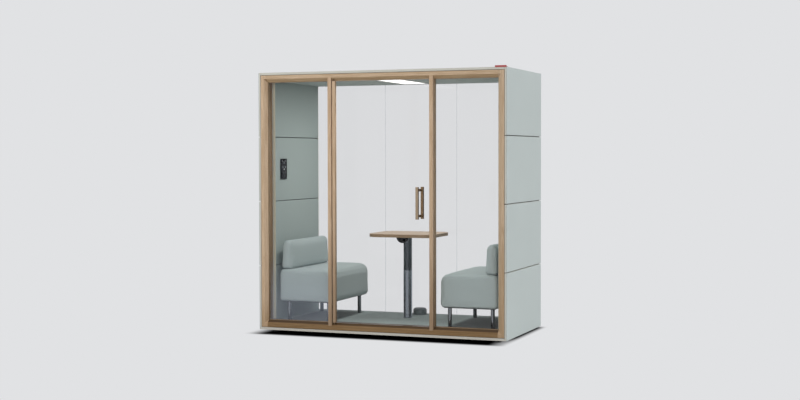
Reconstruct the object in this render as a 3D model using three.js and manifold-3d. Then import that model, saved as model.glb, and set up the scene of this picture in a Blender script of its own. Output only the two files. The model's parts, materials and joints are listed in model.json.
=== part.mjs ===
// Acoustic office pod: a fabric-clad box with an oak-framed glass front, an
// outward-opening glass door, two lounge seats and a table.
// Millimetres. +X is the right-hand side seen from the door, +Y is the back, +Z is up.
// The origin is on the ground under the middle of the whole object.

import * as THREE from 'three';
import { mergeVertices } from 'three/addons/utils/BufferGeometryUtils.js';
import Module from 'manifold-3d';

const wasm = await Module();
wasm.setup();

// Overall size of the pod, without the door handle
const podWidth = 2190;
const podDepth = 1030;
const podHeight = 2200;

// Gap between pieces that rest against each other
const restGap = 0.3;

// Shell: upholstered outer panels, wall cores, inner liners, floor and ceiling
const footLift = 25;
const skinThick = 20;
const skinEdge = 4;
const skinCorner = 5;
const panelRows = 4;
const panelGap = 6;
const coreThick = 64;
const linerThick = 20;
const linerGrooveWidth = 6;
const linerGrooveDepth = 6;
const deckThick = 40;
const carpetThick = 10;
const ceilingThick = 50;

// Levelling feet
const footRadius = 30;
const footPadHeight = 10;
const studRadius = 8;
const studReach = 14;
const footInset = 110;

// Oak front frame
const frameDepth = 108;
const reveal = 3;
const postWidth = 54;
const frameChamfer = 26;
const topRailHeight = 57;
const bottomRailHeight = 59;
const mullionWidth = 32;
const mullionDepth = 80;

// Fixed front glass
const paneThick = 12;
const paneSetback = 41;
const paneBite = 10;

// Door leaf: a sheet of glass held by one oak stile on two pivots
const doorOpening = 864;
const doorOffset = 9;
const stileSetback = 2;
const hingeGap = 8;
const latchGap = 5;
const leafGap = 3;
const stileWidth = 27;
const stileDepth = 30;
const stileEdge = 3;
const stileBite = 8;
const leafThick = 10;
const leafSetback = 6;
const pivotRadius = 6;
const pivotInset = 10;
const pivotReach = 20;
const pivotCollarRadius = 10;

// Pull handle: two oak bars on rods that pass through the glass
const handleHeight = 262;
const handleWidth = 24;
const handleThick = 22;
const handleEdge = 4;
const handleCorner = 5;
const handleStandoff = 45;
const handleInset = 86;
const handleMiddle = 1114;
const rodRadius = 6;
const rodSpacing = 210;
const rodBite = 12;
const rodCollarRadius = 11;
const rodCollarThick = 3;

// Glass back wall in recessed channels
const backSetback = 26;
const backPaneCount = 3;
const backPaneThick = 10;
const backPaneJoint = 3;
const backPaneLift = 4;
const channelWidth = 24;
const channelHeight = 30;
const channelWeb = 8;

// Ceiling light and extract fan
const lightWidth = 220;
const lightLength = 760;
const lightThick = 12;
const fanSize = 140;
const fanDepth = 25;
const fanAside = 520;
const fanBack = 40;
const fanRing = 6;
const fanTipGap = 3;
const fanHubRadius = 20;
const fanPinRadius = 4;
const fanStrut = 7;
const fanStrutThick = 5;
const fanStrutCount = 3;
const fanBladeCount = 7;
const fanBladeThick = 2.4;
const fanBladeMargin = 2;
const fanBladePitch = THREE.MathUtils.degToRad(35);
const ventSlotCount = 6;
const ventSlotWidth = 8;
const ventSlotLength = 100;
const ventSlotSpacing = 17;

// Lounge seats, one against each side wall
const seatDepth = 487;
const seatFrontGap = 42;
const seatBackGap = 64;
const seatHeight = 440;
const leftSeatGap = 34;
const rightSeatGap = 8;
const seatFrontRound = 68;
const seatBackRound = 35;
const seatBaseRound = 12;
const seatEndRound = 30;
const seatCrown = 9;
const seatDrawIn = 6;
const backrestThick = 100;
const backrestHeight = 244;
const backrestEndGap = 10;
const backrestTopRound = 46;
const backrestBaseRound = 20;
const backrestEndRound = 40;
const backrestTaper = 18;
const backrestCrown = 7;
const backrestInset = 10;
const plateThick = 4;
const plateInset = 26;
const legHeight = 161;
const legRadius = 16.5;
const legFrontInset = 60;
const legBackInset = 60;
const legEndInset = 85;

// Table on one column, with its power bowl under the top
const tableWidth = 600;
const tableDepth = 500;
const tableCorner = 100;
const tableThick = 28;
const tableEdge = 3;
const tableHeight = 735;
const tableGlassGap = 74;
const tableAside = 12;
const columnRadius = 38;
const headRadius = 60;
const headThick = 6;
const bowlRadius = 54;
const bowlForward = 125;

// Power inlet hood on the floor at the back
const hoodRadius = 60;
const hoodHeight = 58;
const hoodRound = 22;
const hoodAside = 20;
const hoodGlassGap = 6;

// Control panel on the left wall
const controlWidth = 111;
const controlHeight = 175;
const controlThick = 10;
const controlEdge = 3;
const controlCorner = 6;
const controlSetback = 146.2;
const controlMiddle = 1387;
const buttonCount = 3;
const buttonRadius = 10;
const buttonPlay = 0.4;
const buttonPocket = 7;
const buttonTravel = 1.5;
const buttonFloorGap = 0.6;
const buttonProud = 2;
const buttonRing = 26;
const buttonRise = 28;

// Blank tab clipped on the front edge of the roof
const tabWidth = 96;
const tabInset = 4;
const tabThick = 2.5;
const tabRise = 12;
const tabDrop = 3;
const tabLeg = 32;

// How finely round shapes are divided
const roundStepCount = 24;
const domeStepCount = 7;
const seatRingCount = 46;
const backrestRingCount = 32;
const softEndCount = 4;
const softMidCount = 6;
const tableCornerCount = 8;
const smallCornerCount = 3;
const edgeStepCount = 2;

// Levels and planes that several pieces share
const front = -podDepth / 2;
const back = podDepth / 2;
const baseTop = footLift + skinThick;
const deckBottom = baseTop + restGap;
const deckTop = deckBottom + deckThick;
const carpetBottom = deckTop + restGap;
const carpetTop = carpetBottom + carpetThick;
const roofBottom = podHeight - skinThick;
const ceilingTop = roofBottom - restGap;
const ceilingBottom = ceilingTop - ceilingThick;
const skinInner = podWidth / 2 - skinThick;
const coreOuter = skinInner - restGap;
const coreInner = coreOuter - coreThick;
const linerOuter = coreInner - restGap;
const linerInner = linerOuter - linerThick;
const panelHeight = (podHeight - footLift - (panelRows - 1) * panelGap) / panelRows;

// Oak frame planes
const frameBack = front + frameDepth;
const wallFront = frameBack + restGap;
const frameBottom = baseTop + reveal;
const frameTop = roofBottom - reveal;
const postOuter = skinInner - reveal;
const postInner = postOuter - postWidth;
const sillTop = frameBottom + bottomRailHeight;
const headBottom = frameTop - topRailHeight;
const mullionBack = front + mullionDepth;
const openingLeft = doorOffset - doorOpening / 2;
const openingRight = doorOffset + doorOpening / 2;
const paneFront = front + paneSetback;
const paneBack = paneFront + paneThick;

// Door planes
const stileLeft = openingLeft + hingeGap;
const stileRight = stileLeft + stileWidth;
const stileFront = front + stileSetback;
const stileBack = stileFront + stileDepth;
const pivotX = stileLeft + pivotInset;
const pivotY = (stileFront + stileBack) / 2;
const leafFront = stileFront + leafSetback;
const leafBack = leafFront + leafThick;
const leafBottom = sillTop + leafGap;
const leafTop = headBottom - leafGap;
const handleX = openingRight - handleInset;
const outerBarBack = leafFront - handleStandoff;
const outerBarFront = outerBarBack - handleThick;
const innerBarFront = leafBack + handleStandoff;

// Back glass planes
const backGlassLine = back - backSetback;
const channelFront = backGlassLine - channelWidth / 2;
const channelBack = backGlassLine + channelWidth / 2;
const sillChannelBottom = carpetTop - channelHeight;
const headChannelTop = ceilingBottom + channelHeight;
const backGlassFront = backGlassLine - backPaneThick / 2;
const linerBack = channelFront - restGap;

// Furniture planes
const seatFrontEnd = paneBack + seatFrontGap;
const seatBackEnd = backGlassFront - seatBackGap;
const seatWidth = seatBackEnd - seatFrontEnd;
const tableBack = backGlassFront - tableGlassGap - tableDepth / 2;
const controlY = wallFront + controlSetback;

const pod = new THREE.Group();
pod.name = 'acoustic_office_pod';
pod.position.y = (front - outerBarFront) / 2;

const finish = {
  fabric: { color: 0xb6bfbe, roughness: 0.95, metalness: 0 },
  liner: { color: 0x8b9590, roughness: 0.95, metalness: 0 },
  upholstery: { color: 0x98a09e, roughness: 0.92, metalness: 0 },
  carpet: { color: 0x7f8a89, roughness: 1, metalness: 0 },
  board: { color: 0xbdbdb3, roughness: 0.7, metalness: 0 },
  oak: { color: 0xb4936c, roughness: 0.55, metalness: 0 },
  glass: { color: 0xe8eef0, roughness: 0.05, metalness: 0 },
  steel: { color: 0x8d9093, roughness: 0.3, metalness: 1 },
  darkSteel: { color: 0x4b4d50, roughness: 0.4, metalness: 0.8 },
  aluminium: { color: 0xb4b7b9, roughness: 0.35, metalness: 1 },
  blackPlastic: { color: 0x1b1c1e, roughness: 0.35, metalness: 0 },
  palePlastic: { color: 0xd9dcdd, roughness: 0.4, metalness: 0 },
  rubber: { color: 0x222222, roughness: 0.9, metalness: 0 },
  diffuser: { color: 0xfafaf6, roughness: 0.6, metalness: 0 },
  tab: { color: 0xb23a36, roughness: 0.7, metalness: 0 },
};

// Add one named piece to a group
function addPiece(name, geometry, look, group = pod) {
  const piece = new THREE.Mesh(geometry, new THREE.MeshStandardMaterial(finish[look]));
  piece.name = name;
  group.add(piece);
  return piece;
}

// A box given by its two limits along each axis
function block(x, y, z) {
  const box = new THREE.BoxGeometry(x[1] - x[0], y[1] - y[0], z[1] - z[0]);
  return box.translate((x[0] + x[1]) / 2, (y[0] + y[1]) / 2, (z[0] + z[1]) / 2);
}

// A block between two planes across Y that spreads by the same amount all round at its near end
function splayed(x, z, near, far, spread) {
  const body = block(x, [near, far], z);
  const points = body.attributes.position;
  const middle = [(x[0] + x[1]) / 2, (z[0] + z[1]) / 2];
  for (let i = 0; i < points.count; i += 1) {
    if (points.getY(i) < (near + far) / 2) {
      points.setX(i, points.getX(i) + Math.sign(points.getX(i) - middle[0]) * spread);
      points.setZ(i, points.getZ(i) + Math.sign(points.getZ(i) - middle[1]) * spread);
    }
  }
  return body;
}

// Join coincident corners and drop the empty triangles at a turned piece's axis
function weld(geometry) {
  const bare = geometry.clone();
  bare.deleteAttribute('normal');
  bare.deleteAttribute('uv');
  const merged = mergeVertices(bare, 1e-3);
  const corners = merged.index.array;
  const kept = [];
  for (let i = 0; i < corners.length; i += 3) {
    const [a, b, c] = corners.slice(i, i + 3);
    if (a !== b && b !== c && c !== a) kept.push(a, b, c);
  }
  merged.setIndex(kept);
  return merged;
}

function toSolid(geometry) {
  const welded = weld(geometry);
  return new wasm.Manifold(new wasm.Mesh({
    numProp: 3,
    vertProperties: new Float32Array(welded.attributes.position.array),
    triVerts: new Uint32Array(welded.index.array),
  }));
}

function toGeometry(solid) {
  const mesh = solid.getMesh();
  const geometry = new THREE.BufferGeometry();
  geometry.setAttribute('position', new THREE.BufferAttribute(mesh.vertProperties, 3));
  geometry.setIndex(new THREE.BufferAttribute(mesh.triVerts, 1));
  geometry.computeVertexNormals();
  return geometry;
}

function cut(base, tools) {
  return toGeometry(tools.reduce((solid, tool) => solid.subtract(toSolid(tool)), toSolid(base)));
}

function join(pieces) {
  const [first, ...rest] = pieces.map(toSolid);
  return toGeometry(rest.reduce((solid, next) => solid.add(next), first));
}

// A turned piece about the Z axis: pairs of radius and height, from the low end to the high end
function turned(profile) {
  const points = profile.map(([radius, height]) => new THREE.Vector2(radius, height));
  return weld(new THREE.LatheGeometry(points, roundStepCount).rotateX(Math.PI / 2));
}

function rod(radius, low, high) {
  return turned([[0, low], [radius, low], [radius, high], [0, high]]);
}

// A plan outline in X and Y, raised from one height to another
function raised(points, low, high) {
  const outline = new THREE.Shape(points.map(([x, y]) => new THREE.Vector2(x, y)));
  const body = new THREE.ExtrudeGeometry(outline, { depth: high - low, bevelEnabled: false });
  return body.translate(0, 0, low);
}

// A side outline in Y and Z, swept across from one X to another
function sweptAcross(points, left, right) {
  const outline = new THREE.Shape(points.map(([y, z]) => new THREE.Vector2(y, z)));
  const body = new THREE.ExtrudeGeometry(outline, { depth: right - left, bevelEnabled: false });
  return body.rotateX(Math.PI / 2).rotateZ(Math.PI / 2).translate(left, 0, 0);
}

// A rectangle with round corners, centred on the origin
function roundedOutline(width, height, corner) {
  const outline = new THREE.Shape();
  const x = width / 2 - corner;
  const y = height / 2 - corner;
  outline.absarc(x, y, corner, 0, Math.PI / 2);
  outline.absarc(-x, y, corner, Math.PI / 2, Math.PI);
  outline.absarc(-x, -y, corner, Math.PI, Math.PI * 1.5);
  outline.absarc(x, -y, corner, Math.PI * 1.5, Math.PI * 2);
  return outline;
}

// A plate with round corners and eased edges, lying in X and Y with its underside at Z = 0
function easedPlate(width, height, thick, corner, ease, cornerSteps = smallCornerCount) {
  const outline = roundedOutline(width, height, corner);
  const plate = new THREE.ExtrudeGeometry(outline, {
    depth: thick - 2 * ease,
    bevelThickness: ease,
    bevelSize: ease,
    bevelOffset: -ease,
    bevelSegments: edgeStepCount,
    curveSegments: cornerSteps,
  });
  return plate.translate(0, 0, ease);
}

// Floor, feet and roof
function buildBaseAndRoof() {
  const across = [-skinInner + restGap, skinInner - restGap];
  const footX = podWidth / 2 - footInset;
  const footY = podDepth / 2 - footInset;
  const feet = [
    ['levelling_foot_front_left', -footX, -footY],
    ['levelling_foot_front_right', footX, -footY],
    ['levelling_foot_back_left', -footX, footY],
    ['levelling_foot_back_right', footX, footY],
  ];
  const studTop = footLift + studReach;
  const bores = feet.map(([, x, y]) =>
    rod(studRadius + restGap, footLift - restGap, studTop + restGap).translate(x, y, 0));
  addPiece('base_panel', cut(block(across, [front, back], [footLift, baseTop]), bores), 'board');
  const footProfile = [
    [0, 0],
    [footRadius, 0],
    [footRadius, footPadHeight],
    [studRadius, footPadHeight],
    [studRadius, studTop],
    [0, studTop],
  ];
  for (const [name, x, y] of feet) {
    addPiece(name, turned(footProfile), 'rubber').position.set(x, y, 0);
  }
  const floorSide = coreInner - restGap;
  const groove = block(
    [-coreInner, coreInner],
    [channelFront - restGap, channelBack + restGap],
    [sillChannelBottom - restGap, deckTop + restGap],
  );
  const deck = block([-floorSide, floorSide], [wallFront, back], [deckBottom, deckTop]);
  addPiece('floor_deck', cut(deck, [groove]), 'board');
  const carpetSide = linerInner - restGap;
  const carpet = block(
    [-carpetSide, carpetSide],
    [wallFront, linerBack],
    [carpetBottom, carpetTop],
  );
  const columnHole = rod(columnRadius + restGap, deckTop, carpetTop + restGap).translate(0, tableBack, 0);
  addPiece('floor_carpet', cut(carpet, [columnHole]), 'carpet');
  const roof = block(across, [front, back], [roofBottom, podHeight]);
  addPiece('roof_panel', cut(roof, ventSlots(roofBottom - restGap, podHeight + restGap)), 'board');
}

// The row of slots that the fan draws or blows air through
function ventSlots(low, high) {
  const slots = [];
  for (let i = 0; i < ventSlotCount; i += 1) {
    const x = fanAside + (i - (ventSlotCount - 1) / 2) * ventSlotSpacing;
    slots.push(block(
      [x - ventSlotWidth / 2, x + ventSlotWidth / 2],
      [fanBack - ventSlotLength / 2, fanBack + ventSlotLength / 2],
      [low, high],
    ));
  }
  return slots;
}

// Side walls: four soft outer panels, a core and a grooved soft liner on each side
function buildWalls() {
  for (const [side, sign] of [['left', -1], ['right', 1]]) {
    const span = (near, far) => (sign > 0 ? [near, far] : [-far, -near]);
    for (let row = 0; row < panelRows; row += 1) {
      const low = footLift + row * (panelHeight + panelGap);
      const panel = easedPlate(podDepth, panelHeight, skinThick, skinCorner, skinEdge);
      panel.rotateX(Math.PI / 2).rotateZ(Math.PI / 2);
      panel.translate(sign > 0 ? skinInner : -podWidth / 2, 0, low + panelHeight / 2);
      addPiece(`${side}_outer_panel_${row + 1}`, panel, 'fabric');
    }
    const core = block(span(coreInner, coreOuter), [wallFront, back], [deckBottom, ceilingTop]);
    addPiece(`${side}_wall_core`, core, 'board');
    const liner = block(
      span(linerInner, linerOuter),
      [wallFront, linerBack],
      [deckTop + restGap, ceilingBottom - restGap],
    );
    const grooves = [];
    for (let row = 1; row < panelRows; row += 1) {
      const middle = footLift + row * (panelHeight + panelGap) - panelGap / 2;
      grooves.push(block(
        span(linerInner - restGap, linerInner + linerGrooveDepth),
        [wallFront - restGap, linerBack + restGap],
        [middle - linerGrooveWidth / 2, middle + linerGrooveWidth / 2],
      ));
    }
    addPiece(`${side}_inner_liner`, cut(liner, grooves), 'liner');
  }
}

// Ceiling with its light panel and extract fan
function buildCeiling() {
  const side = coreInner - restGap;
  const fanFloor = ceilingTop - fanDepth - 2 * restGap;
  const fanHalf = fanSize / 2 + restGap;
  const headGroove = block(
    [-coreInner, coreInner],
    [channelFront - restGap, channelBack + restGap],
    [ceilingBottom - restGap, headChannelTop + restGap],
  );
  const lightRecess = block(
    [-lightWidth / 2 - restGap, lightWidth / 2 + restGap],
    [-lightLength / 2 - restGap, lightLength / 2 + restGap],
    [ceilingBottom - restGap, ceilingBottom + lightThick + restGap],
  );
  const fanRecess = block(
    [fanAside - fanHalf, fanAside + fanHalf],
    [fanBack - fanHalf, fanBack + fanHalf],
    [fanFloor, ceilingTop + restGap],
  );
  const slab = block([-side, side], [wallFront, back], [ceilingBottom, ceilingTop]);
  const slots = ventSlots(ceilingBottom - restGap, fanFloor + restGap);
  addPiece('ceiling_panel', cut(slab, [headGroove, lightRecess, fanRecess, ...slots]), 'liner');
  const light = block(
    [-lightWidth / 2, lightWidth / 2],
    [-lightLength / 2, lightLength / 2],
    [ceilingBottom, ceilingBottom + lightThick],
  );
  addPiece('light_panel', light, 'diffuser');
  const fan = new THREE.Group();
  fan.position.set(fanAside, fanBack, fanFloor + restGap);
  pod.add(fan);
  buildFan(fan);
}

// Fan in its own frame, standing on Z = 0
function buildFan(fan) {
  const half = fanSize / 2;
  const ductRadius = half - fanRing;
  const pinTop = fanDepth - 2 * fanStrutThick;
  const duct = rod(ductRadius, -restGap, fanDepth + restGap);
  const casing = cut(block([-half, half], [-half, half], [0, fanDepth]), [duct]);
  const spider = [rod(fanHubRadius, 0, fanStrutThick), rod(fanPinRadius, 0, pinTop)];
  for (let i = 0; i < fanStrutCount; i += 1) {
    const strut = block([0, ductRadius + fanRing / 2], [-fanStrut / 2, fanStrut / 2], [0, fanStrutThick]);
    spider.push(strut.rotateZ((i * 2 * Math.PI) / fanStrutCount));
  }
  addPiece('fan_frame', join([casing, ...spider]), 'blackPlastic', fan);
  const low = fanStrutThick + restGap;
  const high = fanDepth - restGap;
  const bladeMiddle = (low + high) / 2;
  const bladeHeight = high - low - 2 * fanBladeMargin;
  const bladeChord = bladeHeight / Math.sin(fanBladePitch);
  const rotor = [rod(fanHubRadius, low, high)];
  for (let i = 0; i < fanBladeCount; i += 1) {
    const blade = block(
      [fanHubRadius / 2, ductRadius - fanTipGap],
      [-bladeChord / 2 + fanBladeThick, bladeChord / 2 - fanBladeThick],
      [-fanBladeThick / 2, fanBladeThick / 2],
    );
    blade.rotateX(fanBladePitch).translate(0, 0, bladeMiddle);
    rotor.push(blade.rotateZ((i * 2 * Math.PI) / fanBladeCount));
  }
  const bore = rod(fanPinRadius + restGap, 0, pinTop + restGap);
  addPiece('fan_rotor', cut(join(rotor), [bore]), 'blackPlastic', fan);
}

// A groove that holds a fixed pane's edge, cut to the pane's own limits
function paneSlot(pane) {
  const grown = (limits) => [limits[0] - restGap, limits[1] + restGap];
  return block(grown(pane.x), grown(pane.y), grown(pane.z));
}

// Oak front frame with the two fixed panes and the door's pivots
function buildFrontFrame() {
  const glazed = [sillTop - paneBite, headBottom + paneBite];
  const leftMullion = [openingLeft - mullionWidth, openingLeft];
  const rightMullion = [openingRight, openingRight + mullionWidth];
  const panes = {
    left: { x: [-postInner - paneBite, leftMullion[0] + paneBite], y: [paneFront, paneBack], z: glazed },
    right: { x: [rightMullion[1] - paneBite, postInner + paneBite], y: [paneFront, paneBack], z: glazed },
  };
  const chamfer = splayed(
    [-postInner, postInner],
    [sillTop, headBottom],
    front - restGap,
    front + frameChamfer,
    frameChamfer + restGap,
  );
  const mullionLow = sillTop + restGap;
  const mullionHigh = headBottom - restGap;
  const mullionOutline = [
    [front, mullionLow - frameChamfer],
    [front + frameChamfer, mullionLow],
    [mullionBack, mullionLow],
    [mullionBack, mullionHigh],
    [front + frameChamfer, mullionHigh],
    [front, mullionHigh + frameChamfer],
  ];
  const sides = [
    ['left', [-postOuter, -postInner], leftMullion],
    ['right', [postInner, postOuter], rightMullion],
  ];
  for (const [side, postSpan, mullionSpan] of sides) {
    const pane = panes[side];
    addPiece(`${side}_front_glass`, block(pane.x, pane.y, pane.z), 'glass');
    const post = block(postSpan, [front, frameBack], [frameBottom, frameTop]);
    addPiece(`${side}_post`, cut(post, [chamfer, paneSlot(pane)]), 'oak');
    const mullion = sweptAcross(mullionOutline, ...mullionSpan);
    addPiece(`${side}_mullion`, cut(mullion, [paneSlot(pane)]), 'oak');
  }
  const across = [-postInner + restGap, postInner - restGap];
  const slots = [paneSlot(panes.left), paneSlot(panes.right)];
  const lowerHole = rod(pivotRadius + restGap, sillTop - pivotReach - restGap, sillTop + restGap);
  const upperHole = rod(pivotRadius + restGap, headBottom - restGap, headBottom + pivotReach + restGap);
  const bottomRail = block(across, [front, frameBack], [frameBottom, sillTop]);
  const topRail = block(across, [front, frameBack], [headBottom, frameTop]);
  const bottomCuts = [chamfer, ...slots, lowerHole.translate(pivotX, pivotY, 0)];
  const topCuts = [chamfer, ...slots, upperHole.translate(pivotX, pivotY, 0)];
  addPiece('bottom_rail', cut(bottomRail, bottomCuts), 'oak');
  addPiece('top_rail', cut(topRail, topCuts), 'oak');
  const lowerPivot = turned(pivotProfile(sillTop - pivotReach, sillTop, leafBottom));
  const upperPivot = turned(pivotProfile(leafTop - pivotReach, leafTop, headBottom));
  addPiece('lower_pivot', lowerPivot, 'steel').position.set(pivotX, pivotY, 0);
  addPiece('upper_pivot', upperPivot, 'steel').position.set(pivotX, pivotY, 0);
}

// A pivot pin with a collar that fills the gap between the leaf and a rail
function pivotProfile(pinBottom, gapLow, gapHigh) {
  const collarLow = gapLow + restGap;
  const collarHigh = gapHigh - restGap;
  const pinTop = gapHigh + (gapLow - pinBottom);
  return [
    [0, pinBottom],
    [pivotRadius, pinBottom],
    [pivotRadius, collarLow],
    [pivotCollarRadius, collarLow],
    [pivotCollarRadius, collarHigh],
    [pivotRadius, collarHigh],
    [pivotRadius, pinTop],
    [0, pinTop],
  ];
}

// Door leaf with its pull handles
function buildDoor() {
  const slotLeft = stileRight - stileBite - restGap;
  const slotFront = leafFront - restGap;
  const slotBack = leafBack + restGap;
  const outline = [
    [stileLeft + stileEdge, stileFront],
    [stileRight - stileEdge, stileFront],
    [stileRight, stileFront + stileEdge],
    [stileRight, slotFront],
    [slotLeft, slotFront],
    [slotLeft, slotBack],
    [stileRight, slotBack],
    [stileRight, stileBack - stileEdge],
    [stileRight - stileEdge, stileBack],
    [stileLeft + stileEdge, stileBack],
    [stileLeft, stileBack - stileEdge],
    [stileLeft, stileFront + stileEdge],
  ];
  const bores = [
    rod(pivotRadius + restGap, leafBottom - restGap, leafBottom + pivotReach + restGap),
    rod(pivotRadius + restGap, leafTop - pivotReach - restGap, leafTop + restGap),
  ];
  const stile = raised(outline, leafBottom, leafTop);
  const placedBores = bores.map((bore) => bore.translate(pivotX, pivotY, 0));
  addPiece('door_stile', cut(stile, placedBores), 'oak');
  const rodHeights = [
    ['lower', handleMiddle - rodSpacing / 2],
    ['upper', handleMiddle + rodSpacing / 2],
  ];
  const rodHoles = (low, high) => rodHeights.map(([, height]) =>
    rod(rodRadius + restGap, low, high).rotateX(-Math.PI / 2).translate(handleX, 0, height));
  const leaf = block(
    [stileRight - stileBite, openingRight - latchGap],
    [leafFront, leafBack],
    [leafBottom, leafTop],
  );
  addPiece('door_glass', cut(leaf, rodHoles(leafFront - restGap, leafBack + restGap)), 'glass');
  const bars = [
    ['outer_handle', outerBarFront, outerBarBack - rodBite - restGap, outerBarBack + restGap],
    ['inner_handle', innerBarFront, innerBarFront - restGap, innerBarFront + rodBite + restGap],
  ];
  for (const [name, barFront, boreLow, boreHigh] of bars) {
    const bar = easedPlate(handleWidth, handleThick, handleHeight, handleCorner, handleEdge);
    bar.translate(handleX, barFront + handleThick / 2, handleMiddle - handleHeight / 2);
    addPiece(name, cut(bar, rodHoles(boreLow, boreHigh)), 'oak');
  }
  const rodProfile = [
    [0, outerBarBack - rodBite],
    [rodRadius, outerBarBack - rodBite],
    [rodRadius, leafFront - restGap - rodCollarThick],
    [rodCollarRadius, leafFront - restGap - rodCollarThick],
    [rodCollarRadius, leafFront - restGap],
    [rodRadius, leafFront - restGap],
    [rodRadius, leafBack + restGap],
    [rodCollarRadius, leafBack + restGap],
    [rodCollarRadius, leafBack + restGap + rodCollarThick],
    [rodRadius, leafBack + restGap + rodCollarThick],
    [rodRadius, innerBarFront + rodBite],
    [0, innerBarFront + rodBite],
  ];
  for (const [place, height] of rodHeights) {
    const pin = turned(rodProfile).rotateX(-Math.PI / 2);
    addPiece(`${place}_handle_rod`, pin, 'steel').position.set(handleX, 0, height);
  }
}

// Glass back wall: three panes standing in a floor channel, steadied by a ceiling channel
function buildBackGlass() {
  const side = coreInner - restGap;
  const slotHalf = backPaneThick / 2 + restGap;
  const slotFloor = sillChannelBottom + channelWeb;
  const slotRoof = headChannelTop - channelWeb;
  const across = [-side, side];
  const deep = [channelFront, channelBack];
  const slotDeep = [backGlassLine - slotHalf, backGlassLine + slotHalf];
  const past = [-side - restGap, side + restGap];
  const sill = block(across, deep, [sillChannelBottom, carpetTop]);
  const sillSlot = block(past, slotDeep, [slotFloor, carpetTop + restGap]);
  addPiece('back_sill_channel', cut(sill, [sillSlot]), 'aluminium');
  const head = block(across, deep, [ceilingBottom, headChannelTop]);
  const headSlot = block(past, slotDeep, [ceilingBottom - restGap, slotRoof]);
  addPiece('back_head_channel', cut(head, [headSlot]), 'aluminium');
  const paneWidth = (2 * side - (backPaneCount - 1) * backPaneJoint) / backPaneCount;
  for (let i = 0; i < backPaneCount; i += 1) {
    const left = -side + i * (paneWidth + backPaneJoint);
    const pane = block(
      [left, left + paneWidth],
      [backGlassFront, backGlassFront + backPaneThick],
      [slotFloor + restGap, slotRoof - backPaneLift],
    );
    addPiece(`back_glass_${i + 1}`, pane, 'glass');
  }
}

// A soft block: a side outline in X and Z swept along Y, drawn in at both ends, then shaped
function softBlock(outline, halfLength, endRound, ringPoints, shape) {
  const ring = outline.getSpacedPoints(ringPoints).slice(0, ringPoints);
  const box = new THREE.Box2().setFromPoints(ring);
  const middle = box.getCenter(new THREE.Vector2());
  const size = box.getSize(new THREE.Vector2());
  const sections = [];
  for (let i = 0; i <= softEndCount; i += 1) {
    const turn = ((i / softEndCount) * Math.PI) / 2;
    sections.push([endRound * (1 - Math.sin(turn)), endRound * (1 - Math.cos(turn))]);
  }
  const straight = halfLength - endRound;
  const stations = sections.map(([inset, run]) => [inset, run - halfLength]);
  for (let i = 1; i < softMidCount; i += 1) {
    stations.push([0, (2 * i / softMidCount - 1) * straight]);
  }
  stations.push(...sections.map(([inset, run]) => [inset, halfLength - run]).reverse());
  const positions = [];
  for (const [inset, y] of stations) {
    for (const point of ring) {
      const x = middle.x + (point.x - middle.x) * (1 - (2 * inset) / size.x);
      const z = middle.y + (point.y - middle.y) * (1 - (2 * inset) / size.y);
      positions.push(...shape(x, y, z));
    }
  }
  const index = [];
  const last = (stations.length - 1) * ringPoints;
  for (let start = 0; start < last; start += ringPoints) {
    for (let j = 0; j < ringPoints; j += 1) {
      const a = start + j;
      const b = start + ((j + 1) % ringPoints);
      index.push(a, b + ringPoints, b, a, a + ringPoints, b + ringPoints);
    }
  }
  const nearMiddle = positions.length / 3;
  const farMiddle = nearMiddle + 1;
  positions.push(...shape(middle.x, -halfLength, middle.y), ...shape(middle.x, halfLength, middle.y));
  for (let j = 0; j < ringPoints; j += 1) {
    const next = (j + 1) % ringPoints;
    index.push(nearMiddle, j, next);
    index.push(farMiddle, last + next, last + j);
  }
  const geometry = new THREE.BufferGeometry();
  geometry.setAttribute('position', new THREE.Float32BufferAttribute(positions, 3));
  geometry.setIndex(index);
  geometry.computeVertexNormals();
  return geometry;
}

// A side outline with its own rounding at each corner, from the rear bottom corner anticlockwise
function sideOutline(rear, nose, low, high, rounds) {
  const outline = new THREE.Shape();
  outline.absarc(rear + rounds.base, low + rounds.base, rounds.base, Math.PI, Math.PI * 1.5);
  outline.absarc(nose - rounds.base, low + rounds.base, rounds.base, Math.PI * 1.5, Math.PI * 2);
  outline.absarc(nose - rounds.nose, high - rounds.nose, rounds.nose, 0, Math.PI / 2);
  outline.absarc(rear + rounds.rear, high - rounds.rear, rounds.rear, Math.PI / 2, Math.PI);
  outline.closePath();
  return outline;
}

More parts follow.
